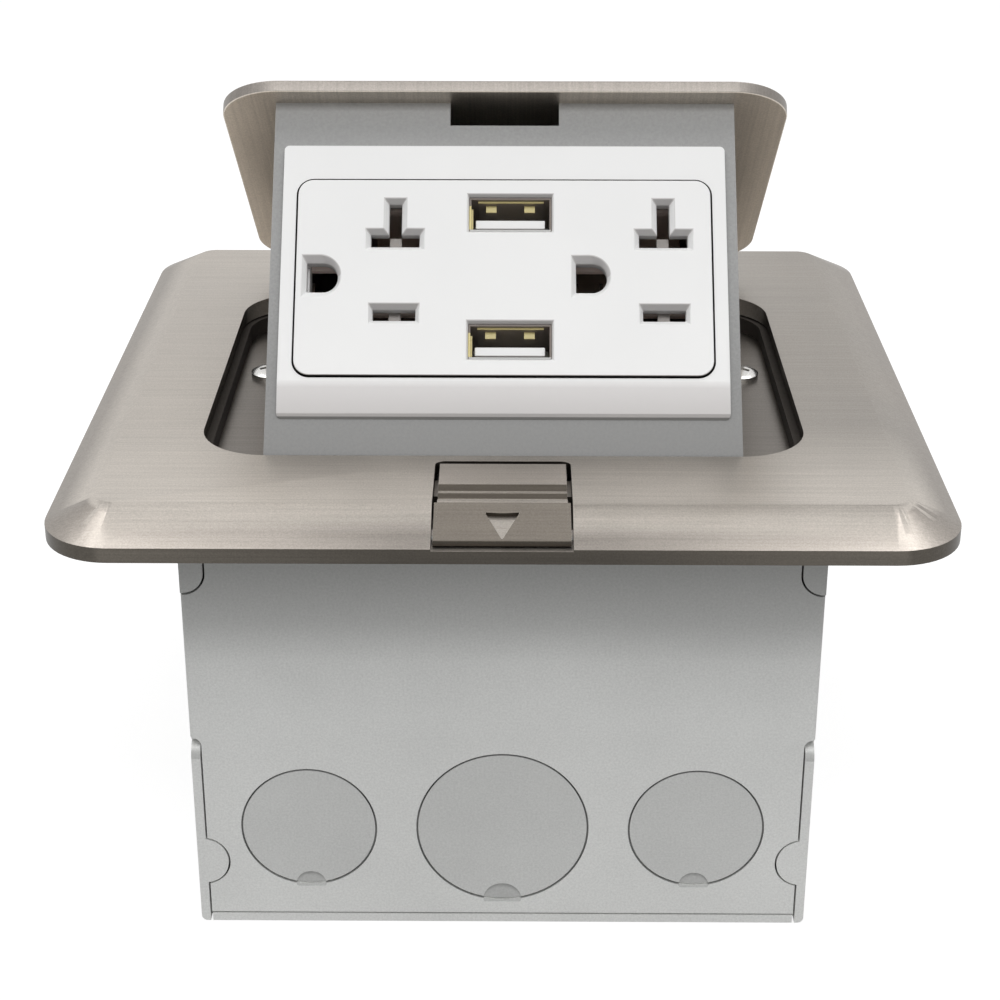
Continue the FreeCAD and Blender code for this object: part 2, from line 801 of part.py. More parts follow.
def latch_leaf():
    """Spring-steel leaf under the button, whose tip catches in the top notch of the lid's cage."""
    body = new_body("latch_leaf")
    top = "button_bottom"
    profile = [
        ("-62", f"{top} - leaf_sheet"), ("-48.96", f"{top} - leaf_sheet"),
        ("-46.56", "0.6"), ("-36.5", "0.6"), ("-36.5", "0.8"), ("-36.9", "0.6 + leaf_sheet"),
        ("-46.4", "0.6 + leaf_sheet"), ("-48.8", top), ("-62", top),
    ]
    prism(body, "YZ", "-leaf_half", "2 * leaf_half", profile)
    rivets = [(x, "-57", "0.9") for x in ("-4.5", "4.5")]
    discs(body, "XY", f"{top} - leaf_sheet", "leaf_sheet", rivets, cut=True)
    return body


def leaf_rivets():
    """Rivets that hold the leaf to the button."""
    top = value("button_bottom")
    low = top - value("leaf_sheet")
    rivets = []
    for x in (-4.5, 4.5):
        pin = rod(0.9, (x, -57, low), (x, -57, top + 1.5))
        rivets.append(pin.fuse(rod(1.6, (x, -57, low - 0.4), (x, -57, low))).removeSplitter())
    new_shape("leaf_rivets", rivets)


def latch_guides():
    """Angled blocks on the hinge frame that guide the button's wings and back its springs."""
    low, top = value("frame_sheet"), value("plate_top") - value("plate_wall")
    blocks = []
    for side in (-1, 1):
        rail = brick(sorted((side * 14.4, side * 16.4)), (-60.2, -46.5), (low, top))
        stop = brick(sorted((side * 10.9, side * 14.5)), (-60.2, -59.1), (low, top - 0.1))
        blocks.append(rail.fuse(stop).removeSplitter())
    new_shape("latch_guides", blocks)


def latch_springs():
    """Compression springs that push the button home."""
    turn = Rotation(Vector(1, 0, 0), 90)
    spring = bent_wire(helix(0.9, 0, 5.0, 0, 360 * 6, 36), 0.2)
    springs = [placed(spring, (side * 12.4, -53.8, 2.9), turn) for side in (-1, 1)]
    new_shape("latch_springs", springs)


# ---------------------------------------------------------------- lid and cage


def lid():
    """Brushed lid plate with four weld studs below."""
    body = new_body("lid", TILTED)
    slab(
        body, "XY", "plate_top - lid_sheet", "lid_sheet",
        "-lid_half", "lid_front", "lid_half", "lid_back", "lid_corner",
    )
    studs = [
        (f"{side} * stud_x", y, "stud_radius") for side in (-1, 1) for y in ("stud_front", "stud_back")
    ]
    discs(body, "XY", "-1.4", "plate_top - lid_sheet + 1.5", studs)
    return body


def lid_nuts():
    """Nuts on the lid's studs, under the cage's top flange."""
    nuts = []
    for x in (-value("stud_x"), value("stud_x")):
        for y in (value("stud_front"), value("stud_back")):
            hole = rod(value("stud_radius"), (x, y, -1), (x, y, 3))
            nuts.append(hexagon(5.5, 0, 2.2, x, y).cut(hole))
    new_shape("lid_nuts", nuts, TILTED)


BOSSES = [(x, z) for x in ("-24", "24") for z in ("-6.6", "-47.6")]


def module_cage():
    """Grey frame below the lid: face panel, side cheeks with hinge eyes, and flanges."""
    body = new_body("module_cage", TILTED)
    top = "plate_top - lid_sheet"
    inside = "cage_half - cage_wall"
    prism(
        body, "XZ", "cage_front", "cage_wall",
        [
            ("-cage_half", "cage_bottom"), ("cage_half", "cage_bottom"),
            ("cage_half", top, "1.2"), ("-cage_half", top, "1.2"),
        ],
        flip=True,
    )
    for side in (1, -1):
        at = inside if side > 0 else "-cage_half"
        panel = [
            ("cage_front", "cage_bottom"), ("-30", "cage_bottom"), ("40", "-22"),
            ("40", top), ("cage_front", top),
        ]
        prism(body, "YZ", at, "cage_wall", panel)
    # nothing of the cheeks may reach into the swing of the plate's back edge
    discs(body, "YZ", 0, None, [("pivot_y", "pivot_z", "cage_swing")], cut=True)
    for side in (1, -1):
        at = inside if side > 0 else "-cage_half"
        arm = [
            ("-30", "cage_bottom"), ("46.7", "-22.6"), ("45.58", "-15.04"),
            ("18.2", "-10.8"), ("8", "-10.5"), ("-30", "-50"),
        ]
        prism(body, "YZ", at, "cage_wall", arm)
        discs(body, "YZ", at, "cage_wall", [("pivot_y", "pivot_z", "eye_radius")])
    discs(
        body, "YZ", 0, None, [("pivot_y", "pivot_z", "shaft_radius + running_gap")], cut=True
    )
    # pegs that the torsion springs push up
    for side in (1, -1):
        low = "33.4" if side > 0 else f"-({inside} + 0.1)"
        discs(body, "YZ", low, f"{inside} + 0.1 - 33.4", [("30", "-17", "1.0")])
    # top flange: two side strips and a cross bar under the lid
    slab(
        body, "XY", f"{top} - cage_wall", "cage_wall",
        f"-({inside} + 0.1)", "cage_front + cage_wall - 0.1", f"{inside} + 0.1", "26",
    )
    slab(
        body, "XY", f"{top} - cage_wall", "cage_wall",
        "-24", "cage_front + cage_wall", "24", "19", cut=True,
    )
    slab(
        body, "XY", "cage_bottom", "cage_wall",
        f"-({inside} + 0.1)", "cage_front + cage_wall - 0.1", f"{inside} + 0.1", "-32",
    )
    studs = [
        (f"{side} * stud_x", y, "stud_radius + 0.1")
        for side in (-1, 1)
        for y in ("stud_front", "stud_back")
    ]
    discs(body, "XY", f"{top} - cage_wall", "cage_wall", studs, cut=True)
    discs(
        body, "XZ", "cage_front + cage_wall - 0.1", "3.4", [(x, z, "2.4") for x, z in BOSSES],
        flip=True,
    )
    # window for the bezel, notch for the latch leaf, and the leaf's relief at the bottom
    slab(body, "XZ", "cage_front", "cage_wall", -34.4, -44.4, 34.4, -9.2, 3.2, cut=True, flip=True)
    slab(
        body, "XZ", "cage_front", "cage_wall",
        "-notch_half", f"{top} - notch_depth", "notch_half", f"{top} + 1", cut=True, flip=True,
    )
    slab(
        body, "XZ", "cage_front", "8",
        "-relief_half", "cage_bottom - 1", "relief_half", "cage_bottom + relief_depth",
        cut=True, flip=True,
    )
    discs(
        body, "XZ", "face_back", "2.8", [(x, z, "0.9") for x, z in BOSSES], cut=True,
    )
    return body


def device_bezel():
    """White surround of the receptacle, with a sloping lower border."""
    body = new_body("device_bezel", TILTED)
    slab(
        body, "XZ", "bezel_front", "cage_front - bezel_front",
        "-bezel_half", "bezel_bottom", "bezel_half", "bezel_top", "0.8", flip=True,
    )
    slab(body, "XZ", "cage_front - 0.1", "3.4", -34.3, -44.3, 34.3, -9.3, 3.1, flip=True)
    slab(body, "XZ", "bezel_front", "6", -33.55, -43.75, 33.55, -9.85, 2.8, cut=True, flip=True)
    prism(
        body, "YZ", "-bezel_half - 1", "2 * bezel_half + 2",
        [
            ("bezel_front - 1", "-44.3"), ("bezel_front - 1", "bezel_bottom - 1"),
            ("cage_front - 0.05", "bezel_bottom - 1"), ("cage_front - 0.05", "bezel_bottom"),
            ("bezel_front + 0.55", "bezel_bottom + 0.9"), ("bezel_front", "-44.3"),
        ],
        cut=True,
    )
    return body


# ---------------------------------------------------------------- receptacle


OUTLETS = ("outlet_left", "outlet_right")
SCREW_POSTS = [(x, z) for x in ("-9.2", "12.0") for z in ("device_z + 11.5", "device_z - 11.5")]


def tee_slot(x, grow):
    """T-shaped slot for either blade: the bar lies below the stem."""
    bar, stem = f"3.9 + {grow}", f"1.0 + {grow}"
    middle = "device_z + blade_offset"
    low, shoulder, head = f"{middle} - 1.03 - {grow}", f"{middle} + 1.02 + {grow}", f"{middle} + 6.3 + {grow}"
    return [
        (f"{x} - ({bar})", low), (f"{x} + {bar}", low), (f"{x} + {bar}", shoulder),
        (f"{x} + {stem}", shoulder), (f"{x} + {stem}", head), (f"{x} - ({stem})", head),
        (f"{x} - ({stem})", shoulder), (f"{x} - ({bar})", shoulder),
    ]


def bar_slot(x, z, half_width, half_height):
    return [
        (f"{x} - {half_width}", f"{z} - {half_height}"),
        (f"{x} + {half_width}", f"{z} - {half_height}"),
        (f"{x} + {half_width}", f"{z} + {half_height}"),
        (f"{x} - {half_width}", f"{z} + {half_height}"),
    ]


def ground_slot(x, half_height, left, right):
    """D-shaped hole: flat to the left, round to the right."""
    middle = f"{x} - ground_offset"
    round_off = f"{half_height} * 0.97"
    return [
        (f"{middle} - {left}", f"device_z - {half_height}"),
        (f"{middle} + {right}", f"device_z - {half_height}", round_off),
        (f"{middle} + {right}", f"device_z + {half_height}", round_off),
        (f"{middle} - {left}", f"device_z + {half_height}"),
    ]


def bevelled_hole(body, outer, inner, depth):
    """A hole through the face with a sloping lead-in of the given depth."""
    loft(body, "XZ", ("face_front - 0.02", outer), (f"face_front + {depth}", inner), cut=True)
    prism(body, "XZ", "face_front", "face_wall + 0.5", inner, cut=True, flip=True)


def receptacle_face():
    """White face of the duplex receptacle with its blade, ground and charger openings."""
    body = new_body("receptacle_face", TILTED)
    low, high = "device_z - face_half_height", "device_z + face_half_height"
    slab(
        body, "XZ", "face_front", "face_back - face_front",
        "-face_half", low, "face_half", high, "face_corner", flip=True,
    )
    slab(
        body, "XZ", "face_back", "face_back - face_front - face_wall",
        "-face_half + 2", f"{low} + 2", "face_half - 2", f"{high} - 2", "0.8", cut=True,
    )
    posts = [(x, z, "2.2") for x, z in SCREW_POSTS]
    discs(body, "XZ", "face_front + face_wall - 0.1", "face_back - face_front - face_wall + 0.1",
          posts, flip=True)
    for outlet in OUTLETS:
        bevelled_hole(body, tee_slot(outlet, "0.85"), tee_slot(outlet, "0"), "0.9")
        blade = "device_z - blade_offset"
        bevelled_hole(
            body, bar_slot(outlet, blade, "4.05", "1.75"), bar_slot(outlet, blade, "3.4", "0.9"), "0.9"
        )
        bevelled_hole(
            body,
            ground_slot(outlet, "3.65", "3.15", "3.15"),
            ground_slot(outlet, "2.45", "2.35", "2.6"),
            "0.9",
        )
    for side in ("+", "-"):
        centre = f"device_z {side} charger_offset"
        bevelled_hole(
            body,
            bar_slot("charger_x", centre, "6.95", "3.4"),
            bar_slot("charger_x", centre, "6.65", "2.95"),
            "0.5",
        )
    pilot = [(x, z, "0.9") for x, z in SCREW_POSTS]
    discs(body, "XZ", "face_back", "3", pilot, cut=True)
    return body


def receptacle_body():
    """Rear housing: an open tub with posts for its screws and windows for the terminals."""
    body = new_body("receptacle_body", TILTED)
    low, high = "device_z - body_half_height", "device_z + body_half_height"
    front = "face_back + yoke_sheet"
    slab(
        body, "XZ", front, f"body_back - ({front})",
        "-body_half", low, "body_half", high, "1.5", flip=True,
    )
    slab(
        body, "XZ", front, f"body_back - ({front}) - body_wall",
        "-body_half + body_wall", f"{low} + body_wall", "body_half - body_wall",
        f"{high} - body_wall", cut=True, flip=True,
    )
    posts = [(x, z, "2.2") for x, z in SCREW_POSTS]
    discs(body, "XZ", "face_back", "body_back - face_back - 0.5", posts, flip=True)
    discs(body, "XZ", "face_back", None, [(x, z, "1.2") for x, z in SCREW_POSTS], cut=True)
    discs(body, "XZ", "body_back", "1.6", [(x, z, "2.1") for x, z in SCREW_POSTS], cut=True)
    screws = [(outlet, "-18.8", "2.1") for outlet in OUTLETS]
    discs(body, "XY", low, "body_wall", screws, cut=True)
    discs(body, "XY", f"{high} - body_wall", "body_wall", screws, cut=True)
    # shallow ribs stiffen the back
    for x in ("-24", "2", "19"):
        slab(body, "XZ", "body_back - 0.1", "0.9", f"{x} - 0.7", f"{low} + 4", f"{x} + 0.7",
             f"{high} - 4", flip=True)
    return body


def housing_screws():
    """Screws from the back that draw the receptacle's two halves together."""
    back, tip = value("body_back") - 1.6, value("face_back") - 2.9
    screws = []
    for x, z in SCREW_POSTS:
        x, z = value(x), value(z)
        shank = rod(0.9, (x, tip, z), (x, back, z))
        head = rod(1.9, (x, back, z), (x, back + 1.2, z))
        slot = brick((x - 3, x + 3), (back + 0.6, back + 2), (z - 0.25, z + 0.25))
        screws.append(shank.fuse(head).cut(slot).removeSplitter())
    new_shape("housing_screws", screws, TILTED)


def device_yoke():
    """Steel strap between the receptacle's halves, with four tabs to the cage."""
    body = new_body("device_yoke", TILTED)
    corners = [
        ("-34.8", "-43.9"), ("-28.5", "-43.9"), ("-28.5", "-50.2", "1"), ("-19.5", "-50.2", "1"),
        ("-19.5", "-43.9"), ("19.5", "-43.9"), ("19.5", "-50.2", "1"), ("28.5", "-50.2", "1"),
        ("28.5", "-43.9"), ("34.8", "-43.9"),
    ]
    mirrored = [(x, f"2 * device_z - ({z})", *r) for x, z, *r in reversed(corners)]
    prism(body, "XZ", "face_back", "yoke_sheet", corners + mirrored, flip=True)
    slab(
        body, "XZ", "face_back", "yoke_sheet",
        -31.7, "device_z - 14.1", 31.7, "device_z + 14.1", cut=True, flip=True,
    )
    discs(body, "XZ", "face_back", "yoke_sheet", [(x, z, "1.1") for x, z in BOSSES], cut=True,
          flip=True)
    return body


def yoke_screws():
    """Screws that hold the strap to the cage's bosses."""
    seat = value("face_back") + value("yoke_sheet")
    screw = domed_screw(2.3, 1.3, 0.9, 3.8)
    turn = Rotation(Vector(1, 0, 0), -90)
    copies = [placed(screw, (value(x), seat, value(z)), turn) for x, z in BOSSES]
    new_shape("yoke_screws", copies, TILTED)


def safety_shutter(label, outlet):
    """Sliding frame whose two tongues block the blade slots until both blades enter."""
    body = new_body(label, TILTED)
    front, sheet_thick = "face_front + face_wall + 0.4", "1.4"
    high, low = "device_z + 14.2", "device_z - 11.2"
    slab(
        body, "XZ", front, sheet_thick, f"{outlet} - 5.3", low, f"{outlet} + 5.3", high, flip=True
    )
    tee, blade = "device_z + blade_offset", "device_z - blade_offset"
    for centre, head in ((tee, "7"), (blade, "5")):
        foot, tip = f"{centre} - 1.3", f"{centre} + 1.2"
        window = [
            (f"{outlet} - 4.1", foot), (f"{outlet} - 0.95", foot), (f"{outlet} - 0.95", tip),
            (f"{outlet} + 0.95", tip), (f"{outlet} + 0.95", foot), (f"{outlet} + 4.1", foot),
            (f"{outlet} + 4.1", f"{centre} + {head}"), (f"{outlet} - 4.1", f"{centre} + {head}"),
        ]
        prism(body, "XZ", front, sheet_thick, window, cut=True, flip=True)
    return body


def shutter_spring(label, outlet):
    """Small compression spring that returns a shutter."""
    x, y = value(outlet), value("face_front + face_wall + 1.1")
    low = value("device_z - face_half_height + 2") + 0.25
    length = value("device_z - 11.2") - 0.3 - low
    spring = bent_wire(helix(0.5, 0, length, 0, 360 * 4, 45), 0.14)
    new_shape(label, [placed(spring, (x, y, low))], TILTED)


def shutter_retainer():
    """Plate behind the shutters, open behind every slot and port."""
    body = new_body("shutter_retainer", TILTED)
    low, high = "device_z - face_half_height + 2.05", "device_z + face_half_height - 2.05"
    at, thick = "face_back - 2.3", "1.2"
    slab(body, "XZ", at, thick, "-face_half + 2.05", low, "face_half - 2.05", high, "0.8", flip=True)
    for outlet in OUTLETS:
        tee, blade = "device_z + blade_offset", "device_z - blade_offset"
        windows = [
            (f"{outlet} - 4.2", f"{tee} - 1.4", f"{outlet} + 4.2", f"{tee} + 6.6"),
            (f"{outlet} - 4.2", f"{blade} - 1.4", f"{outlet} + 4.2", f"{blade} + 1.4"),
            (f"{outlet} - ground_offset - 2.5", "device_z - 2.7",
             f"{outlet} - ground_offset + 2.8", "device_z + 2.7"),
        ]
        for window in windows:
            slab(body, "XZ", at, thick, *window, cut=True, flip=True)
    for side in ("+", "-"):
        centre = f"device_z {side} charger_offset"
        slab(body, "XZ", at, thick, "charger_x - 6.8", f"{centre} - 3.1", "charger_x + 6.8",
             f"{centre} + 3.1", cut=True, flip=True)
    discs(body, "XZ", at, thick, [(x, z, "2.3") for x, z in SCREW_POSTS], cut=True, flip=True)
    return body


def blade_contacts(label, side):
    """Brass strip that joins the two outlets: a pair of leaves behind each slot, and two tabs."""
    middle = value(f"device_z + {side} * blade_offset")
    wall = value(f"device_z + {side} * (body_half_height - body_wall)")
    left, right = value(OUTLETS[0]), value(OUTLETS[1])
    strip = brick((left - 4, right + 4), (-22.6, -22.0), (middle - 2.4, middle + 2.4))
    for x in (left, right):
        for leaf in (-1.45, 0.95):
            strip = strip.fuse(
                brick((x - 3, x + 3), (-31, -22.5), (middle + leaf, middle + leaf + 0.5))
            )
        drop = brick((x - 4, x + 4), (-22.6, -22.0), sorted((middle + side * 2.3, wall)))
        tab = brick((x - 4, x + 4), (-22.6, -14.6), sorted((wall, wall - side * 0.8)))
        hole = rod(1.7, (x, -18.8, wall - 2), (x, -18.8, wall + 2))
        strip = strip.fuse(drop).fuse(tab).cut(hole)
    new_shape(label, [strip.removeSplitter()], TILTED)


def ground_contacts():
    """Brass strip with a pair of leaves behind each ground hole."""
    middle = value("device_z")
    xs = [value(f"{outlet} - ground_offset") for outlet in OUTLETS]
    strip = brick((xs[0] - 2.3, xs[1] + 2.3), (-20.6, -20.0), (middle - 1.8, middle + 1.8))
    for x in xs:
        for leaf in (-2.3, 1.8):
            strip = strip.fuse(
                brick((x + leaf, x + leaf + 0.5), (-31, -20.1), (middle - 2.2, middle + 2.2))
            )
    new_shape("ground_contacts", [strip.removeSplitter()], TILTED)


def terminal_screws(label, side):
    """Wire-binding screws through the housing's long wall."""
    wall = value(f"device_z + {side} * body_half_height")
    screw = domed_screw(3.7, 2.2, 1.7, 3.4)
    turn = Rotation(Vector(1, 0, 0), 0 if side > 0 else 180)
    copies = [placed(screw, (value(outlet), -18.8, wall), turn) for outlet in OUTLETS]
    new_shape(label, copies, TILTED)


def charger_centres():
    x = value("charger_x")
    return [(x, value(f"device_z {side} charger_offset")) for side in ("+", "-")]


def usb_shells():
    """Folded metal sleeves of the two charging ports."""
    shells = []
    for x, z in charger_centres():
        sleeve = brick((x - 6.6, x + 6.6), (-39.3, -25.6), (z - 2.9, z + 2.9))
        hollow = brick((x - 6.3, x + 6.3), (-40, -25), (z - 2.6, z + 2.6))
        shells.append(sleeve.cut(hollow))
    new_shape("usb_shells", shells, TILTED)


def usb_tongues():
    """Insulator at the back of each port with its tongue."""
    tongues = []
    for x, z in charger_centres():
        base = brick((x - 6.3, x + 6.3), (-27.6, -25.6), (z - 2.6, z + 2.6))
        tongue = brick((x - 5.6, x + 5.6), (-38.4, -27.5), (z - 2.1, z - 0.6))
        tongues.append(base.fuse(tongue).removeSplitter())
    new_shape("usb_tongues", tongues, TILTED)


def usb_contacts():
    """Four gilt strips on each tongue."""
    strips = []
    for x, z in charger_centres():
        for offset in (-3.5, -1.0, 1.0, 3.5):
            strips.append(
                brick((x + offset - 0.5, x + offset + 0.5), (-37.4, -27.7), (z - 0.6, z - 0.45))
            )
    new_shape("usb_contacts", strips, TILTED)


def usb_springs():
    """Gilt grip springs inside each port: a strip and two bent fingers above, one strip aside."""
    springs = []
    for x, z in charger_centres():
        top = brick((x - 5.2, x + 5.4), (-38.6, -31), (z + 2.35, z + 2.6))
        for middle in (-3.1, 3.1):
            finger = brick((x + middle - 0.85, x + middle + 0.85), (-37.4, -35.9), (z + 1.2, z + 2.4))
            top = top.fuse(finger)
        springs.append(top.removeSplitter())
        springs.append(brick((x - 6.3, x - 6.0), (-38.6, -31), (z - 2.3, z + 1.2)))
    new_shape("usb_springs", springs, TILTED)


def charger_board():
    """Circuit board behind the charging ports."""
    middle = value("device_z")
    board = brick((-6.8, 9.6), (-25.6, -24.2), (middle - 13.2, middle + 13.2))
    new_shape("charger_board", [board], TILTED)


def board_components():
    """Transformer and capacitor on the board, between the ports."""
    middle = value("device_z")
    transformer = rounded_block((-5.6, 2.6), (-32.6, -25.6), (middle - 5.5, middle + 5.5), 0.8)
    capacitor = rod(2.5, (6.0, -25.6, middle + 2.5), (6.0, -32.8, middle + 2.5))
    chip = brick((3.8, 8.4), (-27.0, -25.6), (middle - 6, middle - 1.4))
    new_shape("board_components", [transformer, capacitor, chip], TILTED)


# ---------------------------------------------------------------- build and write


def build():
    cover_plate()
    hinge_frame()
    lid_gasket()
    box_wrap()
    box_base()
    ear_bracket("ear_bracket_right", 1)
    ear_bracket("ear_bracket_left", -1)
    ground_screw()
    cover_screws()
    hinge_shaft()
    retaining_clips()
    torsion_springs()
    latch_guides()
    latch_springs()
    latch_button()
    latch_leaf()
    leaf_rivets()
    lid()
    lid_nuts()
    module_cage()
    device_bezel()
    receptacle_face()
    receptacle_body()
    housing_screws()
    device_yoke()
    yoke_screws()
    shutter_retainer()
    for side, outlet in zip(("left", "right"), OUTLETS):
        safety_shutter(f"safety_shutter_{side}", outlet)
        shutter_spring(f"shutter_spring_{side}", outlet)
    blade_contacts("neutral_contacts", 1)
    blade_contacts("hot_contacts", -1)
    ground_contacts()
    terminal_screws("neutral_terminal_screws", 1)
    terminal_screws("hot_terminal_screws", -1)
    usb_shells()
    usb_tongues()
    usb_contacts()
    usb_springs()
    charger_board()
    board_components()


def check():
    """Stop before anything is written if a feature failed or a sub-part is not sound."""
    for thing in doc.Objects:
        if {"Invalid", "Error"} & set(thing.State):
            raise RuntimeError(f"{thing.Label} failed: {thing.State}")
    for label, part in parts.items():
        if part.Shape.isNull() or not part.Shape.isValid() or not part.Shape.Solids:
            raise RuntimeError(f"{label} has no sound shape")


def write():
    os.makedirs("parts", exist_ok=True)
    for label, part in parts.items():
        part.Shape.exportStep(f"parts/{label}.step")


build()
doc.recompute()
check()
write()
for label, part in parts.items():
    print(f"{label}: {len(part.Shape.Solids)} solids, {part.Shape.Volume:.1f} mm3")
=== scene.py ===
import math

import bpy
from bpy.props import FloatProperty, FloatVectorProperty, IntProperty, PointerProperty
from mathutils import Matrix, Vector


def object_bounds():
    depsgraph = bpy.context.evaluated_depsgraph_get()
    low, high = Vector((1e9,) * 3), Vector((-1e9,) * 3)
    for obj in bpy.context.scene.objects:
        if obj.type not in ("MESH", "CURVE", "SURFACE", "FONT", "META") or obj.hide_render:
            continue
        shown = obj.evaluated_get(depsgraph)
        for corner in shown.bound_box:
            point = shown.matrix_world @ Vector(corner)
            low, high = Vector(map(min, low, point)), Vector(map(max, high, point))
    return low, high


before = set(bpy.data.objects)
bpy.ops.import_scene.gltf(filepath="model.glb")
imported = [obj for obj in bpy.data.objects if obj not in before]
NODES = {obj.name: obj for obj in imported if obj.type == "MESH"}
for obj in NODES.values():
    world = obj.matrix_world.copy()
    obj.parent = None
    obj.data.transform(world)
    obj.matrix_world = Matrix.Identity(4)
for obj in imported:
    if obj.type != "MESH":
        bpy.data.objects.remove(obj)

bl_info = {
    "name": "Pop-up Floor Socket Box",
    "version": (1, 0, 0),
    "blender": (4, 5, 0),
    "location": "3D View > Sidebar > Socket Box",
    "description": "Finishes a pop-up floor socket box and sets its studio stage",
    "category": "Object",
}

CAD_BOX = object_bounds()
# the lid and the receptacle stand open by this angle about the X axis
TILT = math.radians(-40)
UP = Vector((0, 0, 1))
HINGE = Vector((0, 0.045, 0.0572))
LID_UP = Matrix.Rotation(TILT, 3, "X") @ UP
SIDE = Vector((1, 0, 0))
# each wall's knockouts: place along the wall and radius, all at one height
KNOCKOUTS = ((-0.032, 0.0111), (0.0, 0.0141), (0.032, 0.0111))
KNOCKOUT_HEIGHT = 0.0186
# the floor of the button's arrow leans towards the front
ARROW_TILT = math.radians(14)

# noise scales in cycles per metre; brushing is slow along its own axis
STREAKS_ALONG_X = (35, 2600, 2600)
STREAKS_ALONG_Y = (2600, 35, 35)
METAL_GRAIN = 3800
METAL_CLOUDS = (38, 24, 30)

# the receptacle in the closed pose, in millimetres
FACE_HALF_WIDTH, FACE_FOOT, FACE_TOP = 32.3, 33.7, 65.1
AROUND_FACE = (-40, -39.8, 25), (40, -20, 75)
PORT_FEET = (35.65, 57.35)
# the painted shade of white plastic that looks down, and the painted light on the rim of a port's
# opening
WHITE_SHADED_BELOW = (0.635, 0.618, 0.612)
PORT_RIM_LIT = (0.5, 0.5, 0.49)

# modifiers: vertices closer than this are joined, faces flatter than this are merged
WELD_DISTANCE = 2e-6
FLAT_ANGLE = math.radians(0.4)

# name, place, aim, width, height in metres, and power in watts
LAMPS = (
    ("Overhead left", (-0.42, 0.16, 1.0), (0, 0, 0.08), 0.35, 0.5, 1.6),
    ("Overhead right", (0.42, 0.16, 1.0), (0, 0, 0.08), 0.35, 0.5, 1.9),
    ("Front", (0.0, -0.80, 1.15), (0, 0, 0.05), 1.2, 0.4, 7.0),
)
FLOOR_GREY = 0.42
FLOOR_GLOW = 0.74
FLOOR_GAP = 0.0001
WORLD_LIGHT = 0.42
WORLD_SEEN = 1.0


# ------------------------------------------------------------------ sizes and colours


def colour(name, note, rgb):
    """A colour property, written as linear red, green and blue."""
    return FloatVectorProperty(
        name=name, description=note, default=rgb, size=3, min=0, max=1, subtype="COLOR"
    )


def length(name, note, metres):
    """A length property, in metres."""
    return FloatProperty(name=name, description=note, default=metres, min=0, unit="LENGTH")


class SocketBoxFinishes(bpy.types.PropertyGroup):
    """Colours of the finishes, some of them painted light and shade."""

    nickel: colour("Nickel", "Brushed top of the plate and the lid", (0.46, 0.425, 0.385))
    # painted shade: the plate's slope and upright rim are darker copies of the same nickel
    nickel_slope_shade: colour("Nickel slope", "Sloping border of the plate", (0.34, 0.31, 0.28))
    nickel_rim_shade: colour("Nickel rim", "Upright rim of the plate", (0.10, 0.09, 0.077))
    nickel_edge: colour("Nickel edge", "Cut edges of the lid and the frame", (0.25, 0.23, 0.21))
    # painted light: the lid's underside gets a lighter copy of the nickel so it looks lit in its
    # shade
    nickel_under_lit: colour("Nickel under", "Underside of the lid", (0.66, 0.605, 0.535))
    # wear and painted highlight: the rounded edges that run from front to back are painted lighter
    nickel_worn_highlight: colour("Nickel worn", "Rubbed edges", (0.80, 0.76, 0.70))
    # painted light and shade: the button's top and arrow floor are lit copies of the nickel, and
    # its slope and steep walls are shaded copies
    button_top_lit: colour("Button top", "Flat top and ridges of the button", (0.51, 0.465, 0.42))
    button_slope_shade: colour("Button slope", "Front slope of the button", (0.185, 0.165, 0.142))
    button_groove_shade: colour("Button groove", "Steep walls of the button", (0.055, 0.048, 0.04))
    button_arrow_lit: colour("Button arrow", "Floor of the arrow", (0.40, 0.37, 0.335))
    zinc: colour("Zinc", "Galvanised sheet of the floor box", (0.72, 0.725, 0.71))
    cage_grey: colour("Cage grey", "Textured paint of the frame below the lid", (0.44, 0.44, 0.435))
    white: colour("White", "Receptacle and bezel", (0.84, 0.84, 0.835))
    foam: colour("Foam", "Gasket strips", (0.030, 0.024, 0.019))
    housing: colour("Housing", "Dark inner plastic", (0.075, 0.058, 0.048))
    shutter: colour("Shutter", "Milky shutters", (0.27, 0.245, 0.225))
    # painted shade: the walls of the joint round the receptacle are coloured near black
    joint: colour("Joint", "Depth of the joint round the receptacle", (0.008, 0.007, 0.006))
    # painted shadow: a dark strip at the foot of the bezel's rim
    crease_shade: colour("Crease", "Foot of the bezel's rim", (0.16, 0.16, 0.155))
    haze: colour("Haze", "Smoky plastic seen in the slots", (0.88, 0.74, 0.67))
    brass: colour("Brass", "Terminal screws", (0.72, 0.52, 0.20))
    bronze: colour("Bronze", "Blade contacts", (0.55, 0.45, 0.38))
    gilt: colour("Gilt", "Gilt contacts of the charging ports", (0.70, 0.60, 0.27))
    # painted shade: the ports' shells and springs are dark to stand for the shade inside the ports
    sleeve_shade: colour("Sleeve", "Dark inside of the charging ports", (0.17, 0.14, 0.12))
    bright: colour("Bright plate", "Screws, sleeves and shaft", (0.70, 0.69, 0.67))
    spring: colour("Spring steel", "Springs, clips and latch leaf", (0.42, 0.42, 0.43))
    board: colour("Board", "Circuit board", (0.02, 0.11, 0.05))
    green: colour("Green", "Earth screw", (0.03, 0.17, 0.06))
    black: colour("Black", "Moulded electronic parts", (0.02, 0.02, 0.022))


class SocketBoxEdges(bpy.types.PropertyGroup):
    """How far the sharp edges are rounded."""

    plate: length("Plate", "Edges of the cover plate", 0.00035)
    lid: length("Lid", "Edges of the lid", 0.0003)
    button: length("Button", "Edges of the latch button", 0.00035)
    sheet: length("Sheet", "Cut edges of folded sheet", 0.00012)
    cage: length("Cage", "Edges of the grey cage", 0.00025)
    plastic: length("Plastic", "Edges of the white mouldings", 0.00018)
    segments: IntProperty(name="Segments", description="Steps round an edge", default=3, min=1)


